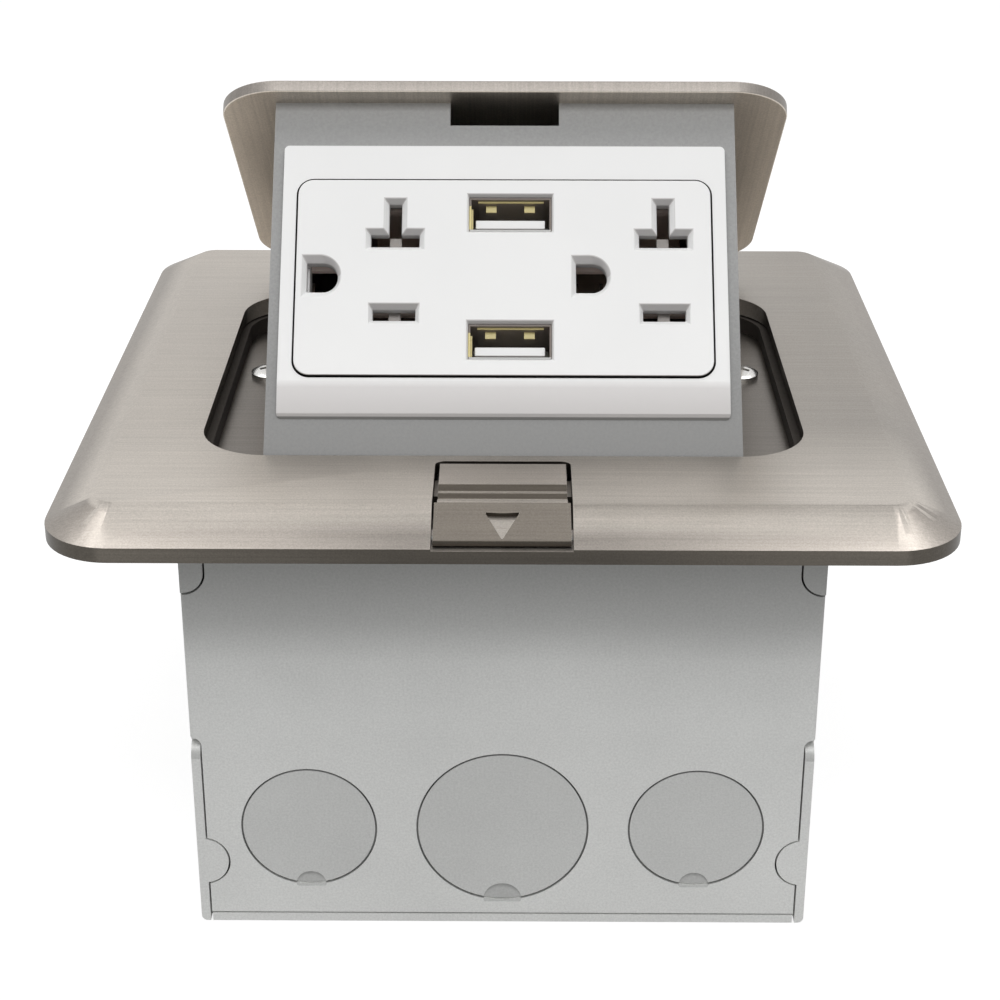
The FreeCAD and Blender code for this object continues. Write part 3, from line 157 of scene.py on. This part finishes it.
class SocketBoxStage(bpy.types.PropertyGroup):
    """Floor, lamps and camera."""

    floor: length("Floor", "Side of the floor", 6.0)
    lens: FloatProperty(
        name="Lens", description="Focal length of the camera", default=76.97, unit="CAMERA"
    )
    sensor: FloatProperty(
        name="Sensor", description="Width of the camera's sensor", default=36.0, unit="CAMERA"
    )
    eye: FloatVectorProperty(
        name="Camera position", description="Where the camera stands",
        default=(0.00168, -0.35037, 0.21483), size=3, subtype="TRANSLATION", unit="LENGTH",
    )
    yaw: FloatProperty(name="Yaw", description="Turn to the left", default=0.00702, unit="ROTATION")
    pitch: FloatProperty(
        name="Pitch", description="Tilt down from the horizon", default=0.42759, unit="ROTATION"
    )
    roll: FloatProperty(
        name="Roll", description="Turn about the line of sight", default=0.00045, unit="ROTATION"
    )


# ------------------------------------------------------------------ materials


class Finish:
    """A node material under construction."""

    def __init__(self, name):
        self.material = bpy.data.materials.new(name)
        self.material.use_nodes = True
        self.tree = self.material.node_tree
        self.shader = self.tree.nodes["Principled BSDF"]
        self.place = self.node("ShaderNodeTexCoord")

    def node(self, kind, inputs=None, **settings):
        """Add a node; each input is a value or another node's output socket."""
        made = self.tree.nodes.new(kind)
        for key, setting in settings.items():
            setattr(made, key, setting)
        for key, given in (inputs or {}).items():
            if isinstance(given, bpy.types.NodeSocket):
                self.tree.links.new(given, made.inputs[key])
            else:
                made.inputs[key].default_value = given
        return made

    def set(self, **sockets):
        """Set or link the shader's sockets; an underscore stands for a space."""
        for key, given in sockets.items():
            socket = self.shader.inputs[key.replace("_", " ")]
            if isinstance(given, bpy.types.NodeSocket):
                self.tree.links.new(given, socket)
            else:
                socket.default_value = given

    def coordinates(self, scale, turn=0.0):
        """Object coordinates, turned back about X, in cycles per metre: one scale or three."""
        if not isinstance(scale, tuple):
            scale = (scale, scale, scale)
        straight = self.node(
            "ShaderNodeVectorRotate",
            {"Vector": self.place.outputs["Object"], "Angle": -turn},
            rotation_type="X_AXIS",
        )
        return self.node(
            "ShaderNodeVectorMath",
            {0: straight.outputs["Vector"], 1: Vector(scale)},
            operation="MULTIPLY",
        ).outputs["Vector"]

    def noise(self, scale, turn=0.0, detail=2.0, roughness=0.5):
        """Noise over the object's own coordinates."""
        return self.node(
            "ShaderNodeTexNoise",
            {
                "Vector": self.coordinates(scale, turn),
                "Scale": 1.0,
                "Detail": detail,
                "Roughness": roughness,
            },
        ).outputs["Fac"]

    def spread(self, source, low, high, start=0.3, end=0.7):
        """Stretch a factor from start..end to low..high."""
        return self.node(
            "ShaderNodeMapRange",
            {"Value": source, "From Min": start, "From Max": end, "To Min": low, "To Max": high},
        ).outputs["Result"]

    def mix(self, factor, first, second, blend="MIX"):
        """Blend two colours, each a tuple or a socket."""
        made = self.node("ShaderNodeMix", {"Factor": factor}, data_type="RGBA", blend_type=blend)
        for socket, given in ((made.inputs[6], first), (made.inputs[7], second)):
            if isinstance(given, bpy.types.NodeSocket):
                self.tree.links.new(given, socket)
            else:
                socket.default_value = (*given, 1)
        return made.outputs[2]

    def math(self, operation, first, second=0.0):
        """One step of arithmetic on values or sockets."""
        return self.node(
            "ShaderNodeMath", {0: first, 1: second}, operation=operation
        ).outputs["Value"]

    def mix_value(self, factor, first, second):
        """Blend two values."""
        return self.node(
            "ShaderNodeMix", {"Factor": factor, 2: first, 3: second}, data_type="FLOAT"
        ).outputs[0]

    def shade(self, base, factor):
        """Multiply a colour by a factor."""
        grey = self.node(
            "ShaderNodeCombineColor", {"Red": factor, "Green": factor, "Blue": factor}
        ).outputs["Color"]
        return self.mix(1.0, base, grey, "MULTIPLY")

    def looking(self, direction):
        """How far the surface looks along a direction, from -1 to 1."""
        return self.node(
            "ShaderNodeVectorMath",
            {0: self.place.outputs["Normal"], 1: direction},
            operation="DOT_PRODUCT",
        ).outputs["Value"]

    def facing(self, direction, start, end):
        """0 where the surface looks away from a direction, 1 where it looks along it."""
        return self.spread(self.looking(direction), 0.0, 1.0, start, end)

    def sideways(self):
        """How far the surface looks to the left or the right."""
        return self.math("ABSOLUTE", self.looking(SIDE))

    def sides(self):
        """1 on the rounded edges that run from front to back, 0 on flat faces."""
        across = self.sideways()
        rising = self.spread(across, 0.0, 1.0, 0.2, 0.4)
        falling = self.spread(across, 1.0, 0.0, 0.8, 0.95)
        return self.math("MULTIPLY", rising, falling)

    def position(self, turn=0.0):
        """Object coordinates as they are with a turn about the hinge undone."""
        return self.node(
            "ShaderNodeVectorRotate",
            {"Vector": self.place.outputs["Object"], "Center": HINGE, "Angle": -turn},
            rotation_type="X_AXIS",
        ).outputs["Vector"]

    def along(self, axis, turn=0.0):
        """One coordinate, in metres."""
        return self.node("ShaderNodeSeparateXYZ", {"Vector": self.position(turn)}).outputs[axis]

    def within(self, low, high, turn=TILT, soft=0.00003):
        """1 inside a box whose corners are in millimetres, 0 outside."""
        low, high = Vector(low) / 1000, Vector(high) / 1000
        offset = self.position(turn)
        for operation, second in (
            ("SUBTRACT", (low + high) / 2),
            ("ABSOLUTE", Vector()),
            ("SUBTRACT", (high - low) / 2),
        ):
            offset = self.node(
                "ShaderNodeVectorMath", {0: offset, 1: second}, operation=operation
            ).outputs["Vector"]
        apart = self.node("ShaderNodeSeparateXYZ", {"Vector": offset}).outputs
        most = self.math("MAXIMUM", self.math("MAXIMUM", apart["X"], apart["Y"]), apart["Z"])
        return self.spread(most, 1.0, 0.0, -soft, soft)

    def patch(self, base, patches):
        """Colour boxes of a surface one after another."""
        for low, high, colour_inside in patches:
            base = self.mix(self.within(low, high), base, tuple(colour_inside))
        return base

    def bump(self, height, distance, strength=0.5, normal=None):
        """A bumped normal, over another one if it is given."""
        inputs = {"Height": height, "Distance": distance, "Strength": strength}
        if normal is not None:
            inputs["Normal"] = normal
        return self.node("ShaderNodeBump", inputs).outputs["Normal"]


def painted_border_highlight(finish, base):
    """Painted highlight on the border, brighter towards its corners, and an even painted shade
    where it slopes sideways.
    """
    across = finish.math("ABSOLUTE", finish.along("X"))
    corners = finish.shade(base, finish.spread(across, 0.72, 1.28, 0.016, 0.062))
    shaded_flanks = finish.shade(base, 0.90)
    return finish.mix(finish.spread(finish.sideways(), 0.0, 1.0, 0.10, 0.20), corners, shaded_flanks)


def painted_top_light_and_shade(finish, base):
    """Painted light and shade on the top: brighter towards the front, and darker at its front
    right.
    """
    front = finish.shade(base, finish.spread(finish.along("Y"), 1.14, 1.0, -0.058, -0.030))
    right = finish.math(
        "MULTIPLY",
        finish.spread(finish.along("X"), 0.0, 1.0, 0.020, 0.056),
        finish.spread(finish.along("Y"), 0.0, 1.0, -0.052, -0.030),
    )
    return finish.shade(front, finish.spread(right, 1.0, 0.70, 0.0, 1.0))


def brushed_nickel(
    name, up, turn, face, slope, edge, under,
    along_x=True, steep=(0.35, 0.75), inset=None, worn_highlight=None, painted_sheen=False,
):
    """Satin nickel: a brushed face that looks up, and slopes, edges and underside in colours of
    their own, which carry painted light and shade.

    An inset is a (direction, colour) pair for the one flat that looks exactly that way; on the
    button it paints light on the arrow's floor.
    """
    finish = Finish(name)
    streaks = finish.noise(STREAKS_ALONG_X if along_x else STREAKS_ALONG_Y, turn, 4.0, 0.6)
    grain = finish.noise(METAL_GRAIN, turn, 2.0, 0.7)
    clouds = finish.noise(METAL_CLOUDS, turn, 3.0, 0.55)
    # painted light and shade: each way a surface looks gets its own colour
    base = finish.mix(finish.facing(-up, 0.35, 0.75), tuple(edge), tuple(under))
    base = finish.mix(finish.facing(up, *steep), base, tuple(slope))
    top = finish.facing(up, 0.94, 0.985)
    base = finish.mix(top, base, tuple(face))
    if inset:
        base = finish.mix(finish.facing(inset[0], 0.9955, 0.9985), base, tuple(inset[1]))
    # wear and painted highlight on the edges that run from front to back
    if worn_highlight:
        base = finish.mix(finish.sides(), base, tuple(worn_highlight))
    # painted highlights and shade on the plate's border and top
    if painted_sheen:
        base = finish.mix(top, painted_border_highlight(finish, base), painted_top_light_and_shade(finish, base))
    base = finish.shade(base, finish.spread(streaks, 0.91, 1.08))
    base = finish.shade(base, finish.spread(grain, 0.87, 1.12))
    base = finish.shade(base, finish.spread(clouds, 0.94, 1.05))
    height = finish.bump(streaks, 0.00002, 0.35)
    height = finish.bump(grain, 0.00002, 0.25, height)
    rough = finish.spread(clouds, 0.36, 0.44)
    finish.set(Base_Color=base, Metallic=1.0, Roughness=rough, Normal=height)
    return finish.material


def knockout(finish, aside, above, radius):
    """How much a knockout darkens a wall: its disc a little, and the ring cut round it more, as
    painted shade in the cut.
    """
    apart = finish.math(
        "SQRT",
        finish.math("ADD", finish.math("POWER", aside, 2), finish.math("POWER", above, 2)),
    )
    disc = finish.spread(apart, 0.84, 1.0, radius - 0.0001, radius + 0.0001)
    from_ring = finish.math("ABSOLUTE", finish.math("SUBTRACT", apart, radius))
    # painted shade in the ring cut
    ring = finish.spread(from_ring, 0.42, 1.0, 0.00012, 0.00020)
    # the pry notch interrupts the ring at its foot
    gap = finish.math(
        "MULTIPLY",
        finish.spread(
            finish.math("ABSOLUTE", aside), 1.0, 0.0, 0.215 * radius, 0.23 * radius
        ),
        finish.spread(above, 1.0, 0.0, -0.6 * radius, -0.5 * radius),
    )
    return finish.math("MULTIPLY", disc, finish.math("MAXIMUM", ring, gap))


def galvanised(name, base_colour):
    """Zinc-coated sheet with fine speckle and faint cloudy patches."""
    finish = Finish(name)
    speckle = finish.noise(2600, 0, 3.0, 0.7)
    clouds = finish.noise(30, 0, 4.0, 0.6)
    base = finish.shade(tuple(base_colour), finish.spread(speckle, 0.90, 1.08))
    base = finish.shade(base, finish.spread(clouds, 0.93, 1.05))
    # painted shadow and light, tone set from the photo: darker under the plate, lighter near the
    # floor
    height = finish.along("Z")
    base = finish.shade(base, finish.spread(height, 1.0, 0.55, 0.050, 0.0665))
    base = finish.shade(base, finish.spread(height, 1.11, 0.99, 0.004, 0.035))
    # the pry notches lean back a little, and are darker
    leaning = finish.facing(UP, 0.08, 0.15)
    not_level = finish.spread(finish.facing(UP, 0.5, 0.7), 1, 0, 0, 1)
    notch = finish.math("MULTIPLY", leaning, not_level)
    base = finish.shade(base, finish.spread(notch, 1.0, 0.72, 0.0, 1.0))
    above = finish.math("SUBTRACT", height, KNOCKOUT_HEIGHT)
    for across, wall in (("X", "Y"), ("Y", "X")):
        from_middle = finish.math("ABSOLUTE", finish.along(wall))
        on_wall = finish.spread(from_middle, 0.0, 1.0, 0.0498, 0.0500)
        for middle, radius in KNOCKOUTS:
            aside = finish.math("SUBTRACT", finish.along(across), middle)
            factor = knockout(finish, aside, above, radius)
            base = finish.shade(base, finish.mix_value(on_wall, 1.0, factor))
    finish.set(
        Base_Color=base, Metallic=0.2, Roughness=finish.spread(clouds, 0.50, 0.60),
        Normal=finish.bump(speckle, 0.00003, 0.3),
    )
    return finish.material


def textured_paint(name, base_colour):
    """Grey powder coat with a fine orange-peel grain."""
    finish = Finish(name)
    grain = finish.noise(2400, TILT, 3.0, 0.6)
    base = finish.shade(tuple(base_colour), finish.spread(grain, 0.90, 1.09))
    # painted shade, tone set from the photo: darker towards the foot of the cage, in the closed
    # pose
    height = finish.along("Z", TILT)
    base = finish.shade(base, finish.spread(height, 0.58, 0.72, 0.016, 0.027))
    base = finish.shade(base, finish.spread(height, 0.76, 1.0, 0.027, 0.052))
    finish.set(
        Base_Color=base, Metallic=0.0, Roughness=finish.spread(grain, 0.42, 0.55),
        Normal=finish.bump(grain, 0.00004, 0.4),
    )
    return finish.material


def moulded(
    name, base_colour, roughness, depth=0.00002, scale=1500, patches=(), shaded=False
):
    """Moulded plastic or rubber: a soft skin with very slight mottling.

    Patches are (low corner, high corner, colour) boxes, in millimetres, in the closed pose.
    A shaded moulding gets painted shade where it looks down.
    """
    finish = Finish(name)
    skin = finish.noise(scale, TILT, 3.0, 0.6)
    mottle = finish.noise(60, TILT, 2.0)
    base = finish.shade(tuple(base_colour), finish.spread(mottle, 0.985, 1.01))
    if shaded:
        # painted shade on faces that look down
        base = finish.mix(finish.facing(-LID_UP, 0.03, 0.07), base, WHITE_SHADED_BELOW)
        below = finish.facing(-LID_UP, 0.3, 0.7)
        base = finish.shade(base, finish.spread(below, 1.0, 0.66, 0, 1))
    base = finish.patch(base, patches)
    finish.set(
        Base_Color=base,
        Roughness=finish.spread(skin, roughness - 0.04, roughness + 0.05),
        Normal=finish.bump(skin, depth, 0.25),
    )
    return finish.material


def plated(name, base_colour, roughness):
    """Bright plated metal with faint wipe marks."""
    finish = Finish(name)
    marks = finish.noise(900, 0, 3.0, 0.6)
    base = finish.shade(tuple(base_colour), finish.spread(marks, 0.94, 1.04))
    finish.set(
        Base_Color=base, Metallic=1.0,
        Roughness=finish.spread(marks, roughness - 0.05, roughness + 0.07),
        Normal=finish.bump(marks, 0.00001, 0.3),
    )
    return finish.material


# ------------------------------------------------------------------ pieces


def dress(node, material):
    """Give a node of the frame its finish."""
    mesh = NODES[node].data
    mesh.materials.clear()
    mesh.materials.append(material)


def soften(node, radius, limit=28.0):
    """Round the sharp edges of a node, and shade its flat faces flat."""
    piece = NODES[node]
    weld = piece.modifiers.new("Weld", "WELD")
    weld.merge_threshold = WELD_DISTANCE
    merge = piece.modifiers.new("Planar faces", "DECIMATE")
    merge.decimate_type = "DISSOLVE"
    merge.angle_limit = FLAT_ANGLE
    edge = piece.modifiers.new("Edges", "BEVEL")
    edge.width = radius
    edge.segments = bpy.context.scene.socket_box_edges.segments
    edge.limit_method = "ANGLE"
    edge.angle_limit = math.radians(limit)
    edge.use_clamp_overlap = True
    edge.harden_normals = False
    shading = piece.modifiers.new("Normals", "WEIGHTED_NORMAL")
    shading.mode = "FACE_AREA"
    shading.weight = 100
    shading.keep_sharp = False
    mesh = piece.data
    if mesh.attributes.get("custom_normal"):
        mesh.attributes.remove(mesh.attributes["custom_normal"])
    mesh.polygons.foreach_set("use_smooth", [True] * len(mesh.polygons))


class Piece:
    """Shared by the operators that finish a group of pieces."""

    bl_options = {"REGISTER", "UNDO"}

    def execute(self, context):
        self.make(context.scene.socket_box_finishes, context.scene.socket_box_edges)
        return {"FINISHED"}


class SOCKETBOX_OT_cover(Piece, bpy.types.Operator):
    """Finish the cover plate and its gasket"""

    bl_idname = "socket_box.cover"
    bl_label = "Cover Plate"

    def make(self, finishes, edges):
        # the plate's slope and rim colours and its sheen are painted light and shade
        nickel = brushed_nickel(
            "Brushed nickel plate", UP, 0.0,
            finishes.nickel, finishes.nickel_slope_shade, finishes.nickel_rim_shade, finishes.nickel_rim_shade,
            painted_sheen=True,
        )
        dress("cover_plate", nickel)
        soften("cover_plate", edges.plate)
        dress("lid_gasket", moulded("Black foam", finishes.foam, 0.85, 0.00008, 900))


class SOCKETBOX_OT_lid(Piece, bpy.types.Operator):
    """Finish the lid and its nuts"""

    bl_idname = "socket_box.lid"
    bl_label = "Lid"

    def make(self, finishes, edges):
        # the underside colour is painted light
        nickel = brushed_nickel(
            "Brushed nickel lid", LID_UP, TILT,
            finishes.nickel, finishes.nickel, finishes.nickel_edge, finishes.nickel_under_lit, False,
        )
        dress("lid", nickel)
        soften("lid", edges.lid)
        dress("lid_nuts", plated("Nut plating", finishes.bright, 0.30))


class SOCKETBOX_OT_latch(Piece, bpy.types.Operator):
    """Finish the latch button, its leaf, rivets, guides and springs"""

    bl_idname = "socket_box.latch"
    bl_label = "Latch"

    def make(self, finishes, edges):
        # the button's colours by facing are painted light and shade
        groove = finishes.button_groove_shade
        arrow = Matrix.Rotation(ARROW_TILT, 3, "X") @ UP
        nickel = brushed_nickel(
            "Brushed nickel button", UP, 0.0,
            finishes.button_top_lit, finishes.button_slope_shade, groove, groove,
            steep=(0.75, 0.88), inset=(arrow, finishes.button_arrow_lit), worn_highlight=finishes.nickel_worn_highlight,
        )
        dress("latch_button", nickel)
        soften("latch_button", edges.button)
        steel = plated("Latch steel", finishes.spring, 0.35)
        for node in ("latch_leaf", "latch_springs", "leaf_rivets"):
            dress(node, steel)
        dress("latch_guides", moulded("Guide plastic", finishes.housing, 0.5))


class SOCKETBOX_OT_hinge(Piece, bpy.types.Operator):
    """Finish the hinge frame, shaft, clips, springs and cover screws"""

    bl_idname = "socket_box.hinge"
    bl_label = "Hinge"

    def make(self, finishes, edges):
        nickel = brushed_nickel("Plain nickel frame", UP, 0.0, *[finishes.nickel_edge] * 4)
        dress("hinge_frame", nickel)
        soften("hinge_frame", edges.sheet)
        bright = plated("Screw plating", finishes.bright, 0.22)
        dress("cover_screws", bright)
        dress("hinge_shaft", bright)
        steel = plated("Hinge steel", finishes.spring, 0.35)
        dress("retaining_clips", steel)
        dress("torsion_springs", steel)


class SOCKETBOX_OT_floor_box(Piece, bpy.types.Operator):
    """Finish the folded floor box, its ears and the earth screw"""

    bl_idname = "socket_box.floor_box"
    bl_label = "Floor Box"

    def make(self, finishes, edges):
        zinc = galvanised("Galvanised sheet", finishes.zinc)
        for node in ("box_wrap", "box_base", "ear_bracket_left", "ear_bracket_right"):
            dress(node, zinc)
            soften(node, edges.sheet)
        dress("ground_screw", plated("Green passivation", finishes.green, 0.35))


class SOCKETBOX_OT_cage(Piece, bpy.types.Operator):
    """Finish the grey cage below the lid"""

    bl_idname = "socket_box.cage"
    bl_label = "Cage"

    def make(self, finishes, edges):
        dress("module_cage", textured_paint("Grey textured paint", finishes.cage_grey))
        soften("module_cage", edges.cage)


class SOCKETBOX_OT_receptacle(Piece, bpy.types.Operator):
    """Finish the receptacle's face, bezel, shutters and body"""

    bl_idname = "socket_box.receptacle"
    bl_label = "Receptacle"

    def make(self, finishes, edges):
        joint, white = finishes.joint, finishes.white
        bezel = moulded("White bezel", white, 0.34, shaded=True, patches=[
            # painted shade in the gap round the face
            ((-33.9, -39.42, 32.1), (33.9, -30, 66.7), joint),
            # painted shadow at the foot of the bezel's rim
            ((-36, -38.6, 25.7), (36, -38, 72.4), finishes.crease_shade),
        ])
        (left, front, foot), (right, back, top) = AROUND_FACE
        # painted shade: the joint colour darkens the walls round the face
        face = moulded("White face", white, 0.34, shaded=True, patches=[
            ((left, front, FACE_TOP), (right, back, top), joint),
            ((left, front, foot), (right, back, FACE_FOOT), joint),
            ((left, front, foot), (-FACE_HALF_WIDTH, back, top), joint),
            ((FACE_HALF_WIDTH, front, foot), (right, back, top), joint),
        ])
        for node, plastic in (("device_bezel", bezel), ("receptacle_face", face)):
            dress(node, plastic)
            soften(node, edges.plastic)
        milky = moulded("Shutter plastic", finishes.shutter, 0.35)
        for side in ("left", "right"):
            dress(f"safety_shutter_{side}", milky)
            dress(f"shutter_spring_{side}", plated("Shutter steel", finishes.spring, 0.35))
        dress("shutter_retainer", moulded("Retainer plastic", finishes.haze, 0.5))
        dress("receptacle_body", moulded("Housing plastic", finishes.housing, 0.45, patches=[
            ((-23, -33, 62.9), (-12, -18, 63.5), finishes.haze),
            ((20, -33, 62.9), (32, -18, 63.5), finishes.haze),
        ]))
        soften("receptacle_body", edges.plastic)
        dress("device_yoke", galvanised("Yoke zinc", finishes.zinc))
        bright = plated("Receptacle screws", finishes.bright, 0.28)
        for node in ("housing_screws", "yoke_screws", "neutral_terminal_screws"):
            dress(node, bright)
        dress("hot_terminal_screws", plated("Brass", finishes.brass, 0.30))
        bronze = plated("Bronze", finishes.bronze, 0.40)
        dress("neutral_contacts", bronze)
        dress("hot_contacts", bronze)
        dress("ground_contacts", plated("Dark bronze", finishes.housing, 0.45))


class SOCKETBOX_OT_charger(Piece, bpy.types.Operator):
    """Finish the charging ports and the circuit board behind them"""

    bl_idname = "socket_box.charger"
    bl_label = "Charging Ports"

    def make(self, finishes, edges):
        gilt = finishes.gilt
        rims = []
        fingers = [((-10, -40, 30), (10, -38.3, 70), gilt)]
        for foot in PORT_FEET:
            # painted light on the rim at each port's foot
            rims.append(((-5.5, -39.6, foot - 0.1), (7.5, -39.0, foot + 0.35), PORT_RIM_LIT))
            rims.append(((-5.7, -39.6, foot + 0.35), (-5.25, -39.0, foot + 4.4), gilt))
            fingers.append(((-3.5, -38, foot + 3.85), (5.5, -37.2, foot + 5.2), gilt))
        # the sleeve colour is painted shade inside the ports
        dress("usb_shells", moulded("Sleeve", finishes.sleeve_shade, 0.45, patches=rims))
        dress("usb_tongues", moulded("Port insulator", finishes.white, 0.4))
        soften("usb_tongues", edges.plastic)
        dress("usb_contacts", moulded("Gilt contacts", gilt, 0.35))
        dress("usb_springs", moulded("Port springs", finishes.sleeve_shade, 0.4, patches=fingers))
        dress("charger_board", moulded("Circuit board", finishes.board, 0.35))
        dress("board_components", moulded("Electronic parts", finishes.black, 0.45))


# ------------------------------------------------------------------ stage


def lamp(name, place, aim, width, height, power):
    """A soft rectangular lamp."""
    light = bpy.data.lights.new(name, "AREA")
    light.shape = "RECTANGLE"
    light.size = width
    light.size_y = height
    light.energy = power
    holder = bpy.data.objects.new(name, light)
    holder.location = place
    holder.rotation_euler = (Vector(aim) - Vector(place)).to_track_quat("-Z", "Y").to_euler()
    bpy.context.scene.collection.objects.link(holder)


def seen_directly(tree):
    """1 for the camera, for reflections and through clear parts; 0 for light on the object."""
    path = tree.nodes.new("ShaderNodeLightPath")
    total = path.outputs["Is Camera Ray"]
    for name in ("Is Glossy Ray", "Is Transmission Ray"):
        add = tree.nodes.new("ShaderNodeMath")
        add.operation = "MAXIMUM"
        tree.links.new(total, add.inputs[0])
        tree.links.new(path.outputs[name], add.inputs[1])
        total = add.outputs[0]
    return total


def studio_floor(size):
    """A white floor that keeps the shadow."""
    material = bpy.data.materials.new("Studio floor")
    material.use_nodes = True
    tree = material.node_tree
    tree.nodes.clear()
    matt = tree.nodes.new("ShaderNodeBsdfDiffuse")
    matt.inputs["Color"].default_value = (FLOOR_GREY, FLOOR_GREY, FLOOR_GREY, 1)
    glow = tree.nodes.new("ShaderNodeEmission")
    level = tree.nodes.new("ShaderNodeMath")
    level.operation = "MULTIPLY"
    level.inputs[1].default_value = FLOOR_GLOW
    tree.links.new(seen_directly(tree), level.inputs[0])
    tree.links.new(level.outputs[0], glow.inputs["Strength"])
    both = tree.nodes.new("ShaderNodeAddShader")
    tree.links.new(matt.outputs[0], both.inputs[0])
    tree.links.new(glow.outputs[0], both.inputs[1])
    output = tree.nodes.new("ShaderNodeOutputMaterial")
    tree.links.new(both.outputs[0], output.inputs["Surface"])
    half = size / 2
    mesh = bpy.data.meshes.new("Studio floor")
    corners = [(-half, -half, 0), (half, -half, 0), (half, half, 0), (-half, half, 0)]
    mesh.from_pydata(corners, [], [(0, 1, 2, 3)])
    mesh.materials.append(material)
    floor = bpy.data.objects.new("Studio floor", mesh)
    floor.location.z = CAD_BOX[0].z - FLOOR_GAP
    bpy.context.scene.collection.objects.link(floor)


def studio_world():
    """A white background whose light on the object is weaker than it looks."""
    world = bpy.data.worlds.new("Studio world")
    bpy.context.scene.world = world
    world.use_nodes = True
    tree = world.node_tree
    background = tree.nodes["Background"]
    background.inputs["Color"].default_value = (1, 1, 1, 1)
    level = tree.nodes.new("ShaderNodeMapRange")
    level.inputs["To Min"].default_value = WORLD_LIGHT
    level.inputs["To Max"].default_value = WORLD_SEEN
    tree.links.new(seen_directly(tree), level.inputs["Value"])
    tree.links.new(level.outputs["Result"], background.inputs["Strength"])


def studio_camera(stage):
    """The camera, turned by yaw and pitch and then rolled."""
    data = bpy.data.cameras.new("Studio camera")
    data.lens = stage.lens
    data.sensor_width = stage.sensor
    data.clip_start = 0.01
    data.clip_end = 50
    camera = bpy.data.objects.new("Studio camera", data)
    camera.location = stage.eye
    turn = Matrix.Rotation(stage.yaw, 4, "Z") @ Matrix.Rotation(math.pi / 2 - stage.pitch, 4, "X")
    camera.rotation_euler = (turn @ Matrix.Rotation(stage.roll, 4, "Z")).to_euler()
    bpy.context.scene.collection.objects.link(camera)
    bpy.context.scene.camera = camera


class SOCKETBOX_OT_stage(bpy.types.Operator):
    """Set up the floor, the lamps, the background and the camera"""

    bl_idname = "socket_box.stage"
    bl_label = "Stage"
    bl_options = {"REGISTER", "UNDO"}

    def execute(self, context):
        stage = context.scene.socket_box_stage
        context.scene.view_settings.view_transform = "Standard"
        studio_floor(stage.floor)
        studio_world()
        for settings in LAMPS:
            lamp(*settings)
        studio_camera(stage)
        return {"FINISHED"}


class SOCKETBOX_PT_panel(bpy.types.Panel):
    """Lists the pieces and their settings"""

    bl_idname = "SOCKETBOX_PT_panel"
    bl_label = "Socket Box"
    bl_space_type = "VIEW_3D"
    bl_region_type = "UI"
    bl_category = "Socket Box"

    def draw(self, context):
        for operator in OPERATORS:
            self.layout.operator(operator.bl_idname)
        for name, (title, _) in GROUPS.items():
            group = getattr(context.scene, name)
            box = self.layout.box()
            box.label(text=title)
            for prop in group.__annotations__:
                box.prop(group, prop)


GROUPS = {
    "socket_box_finishes": ("Finishes", SocketBoxFinishes),
    "socket_box_edges": ("Edges", SocketBoxEdges),
    "socket_box_stage": ("Stage", SocketBoxStage),
}
OPERATORS = (
    SOCKETBOX_OT_cover,
    SOCKETBOX_OT_lid,
    SOCKETBOX_OT_latch,
    SOCKETBOX_OT_hinge,
    SOCKETBOX_OT_floor_box,
    SOCKETBOX_OT_cage,
    SOCKETBOX_OT_receptacle,
    SOCKETBOX_OT_charger,
    SOCKETBOX_OT_stage,
)


def register():
    """Register the settings, the operators and the panel."""
    for name, (_, group) in GROUPS.items():
        bpy.utils.register_class(group)
        setattr(bpy.types.Scene, name, PointerProperty(type=group))
    for cls in (*OPERATORS, SOCKETBOX_PT_panel):
        bpy.utils.register_class(cls)


def unregister():
    """Undo register, in reverse."""
    for cls in reversed((*OPERATORS, SOCKETBOX_PT_panel)):
        bpy.utils.unregister_class(cls)
    for name, (_, group) in reversed(GROUPS.items()):
        delattr(bpy.types.Scene, name)
        bpy.utils.unregister_class(group)


def main():
    """Build everything in order."""
    register()
    for operator in OPERATORS:
        group, name = operator.bl_idname.split(".")
        getattr(getattr(bpy.ops, group), name)()
    bpy.context.view_layer.update()


if __name__ == "__main__":
    main()
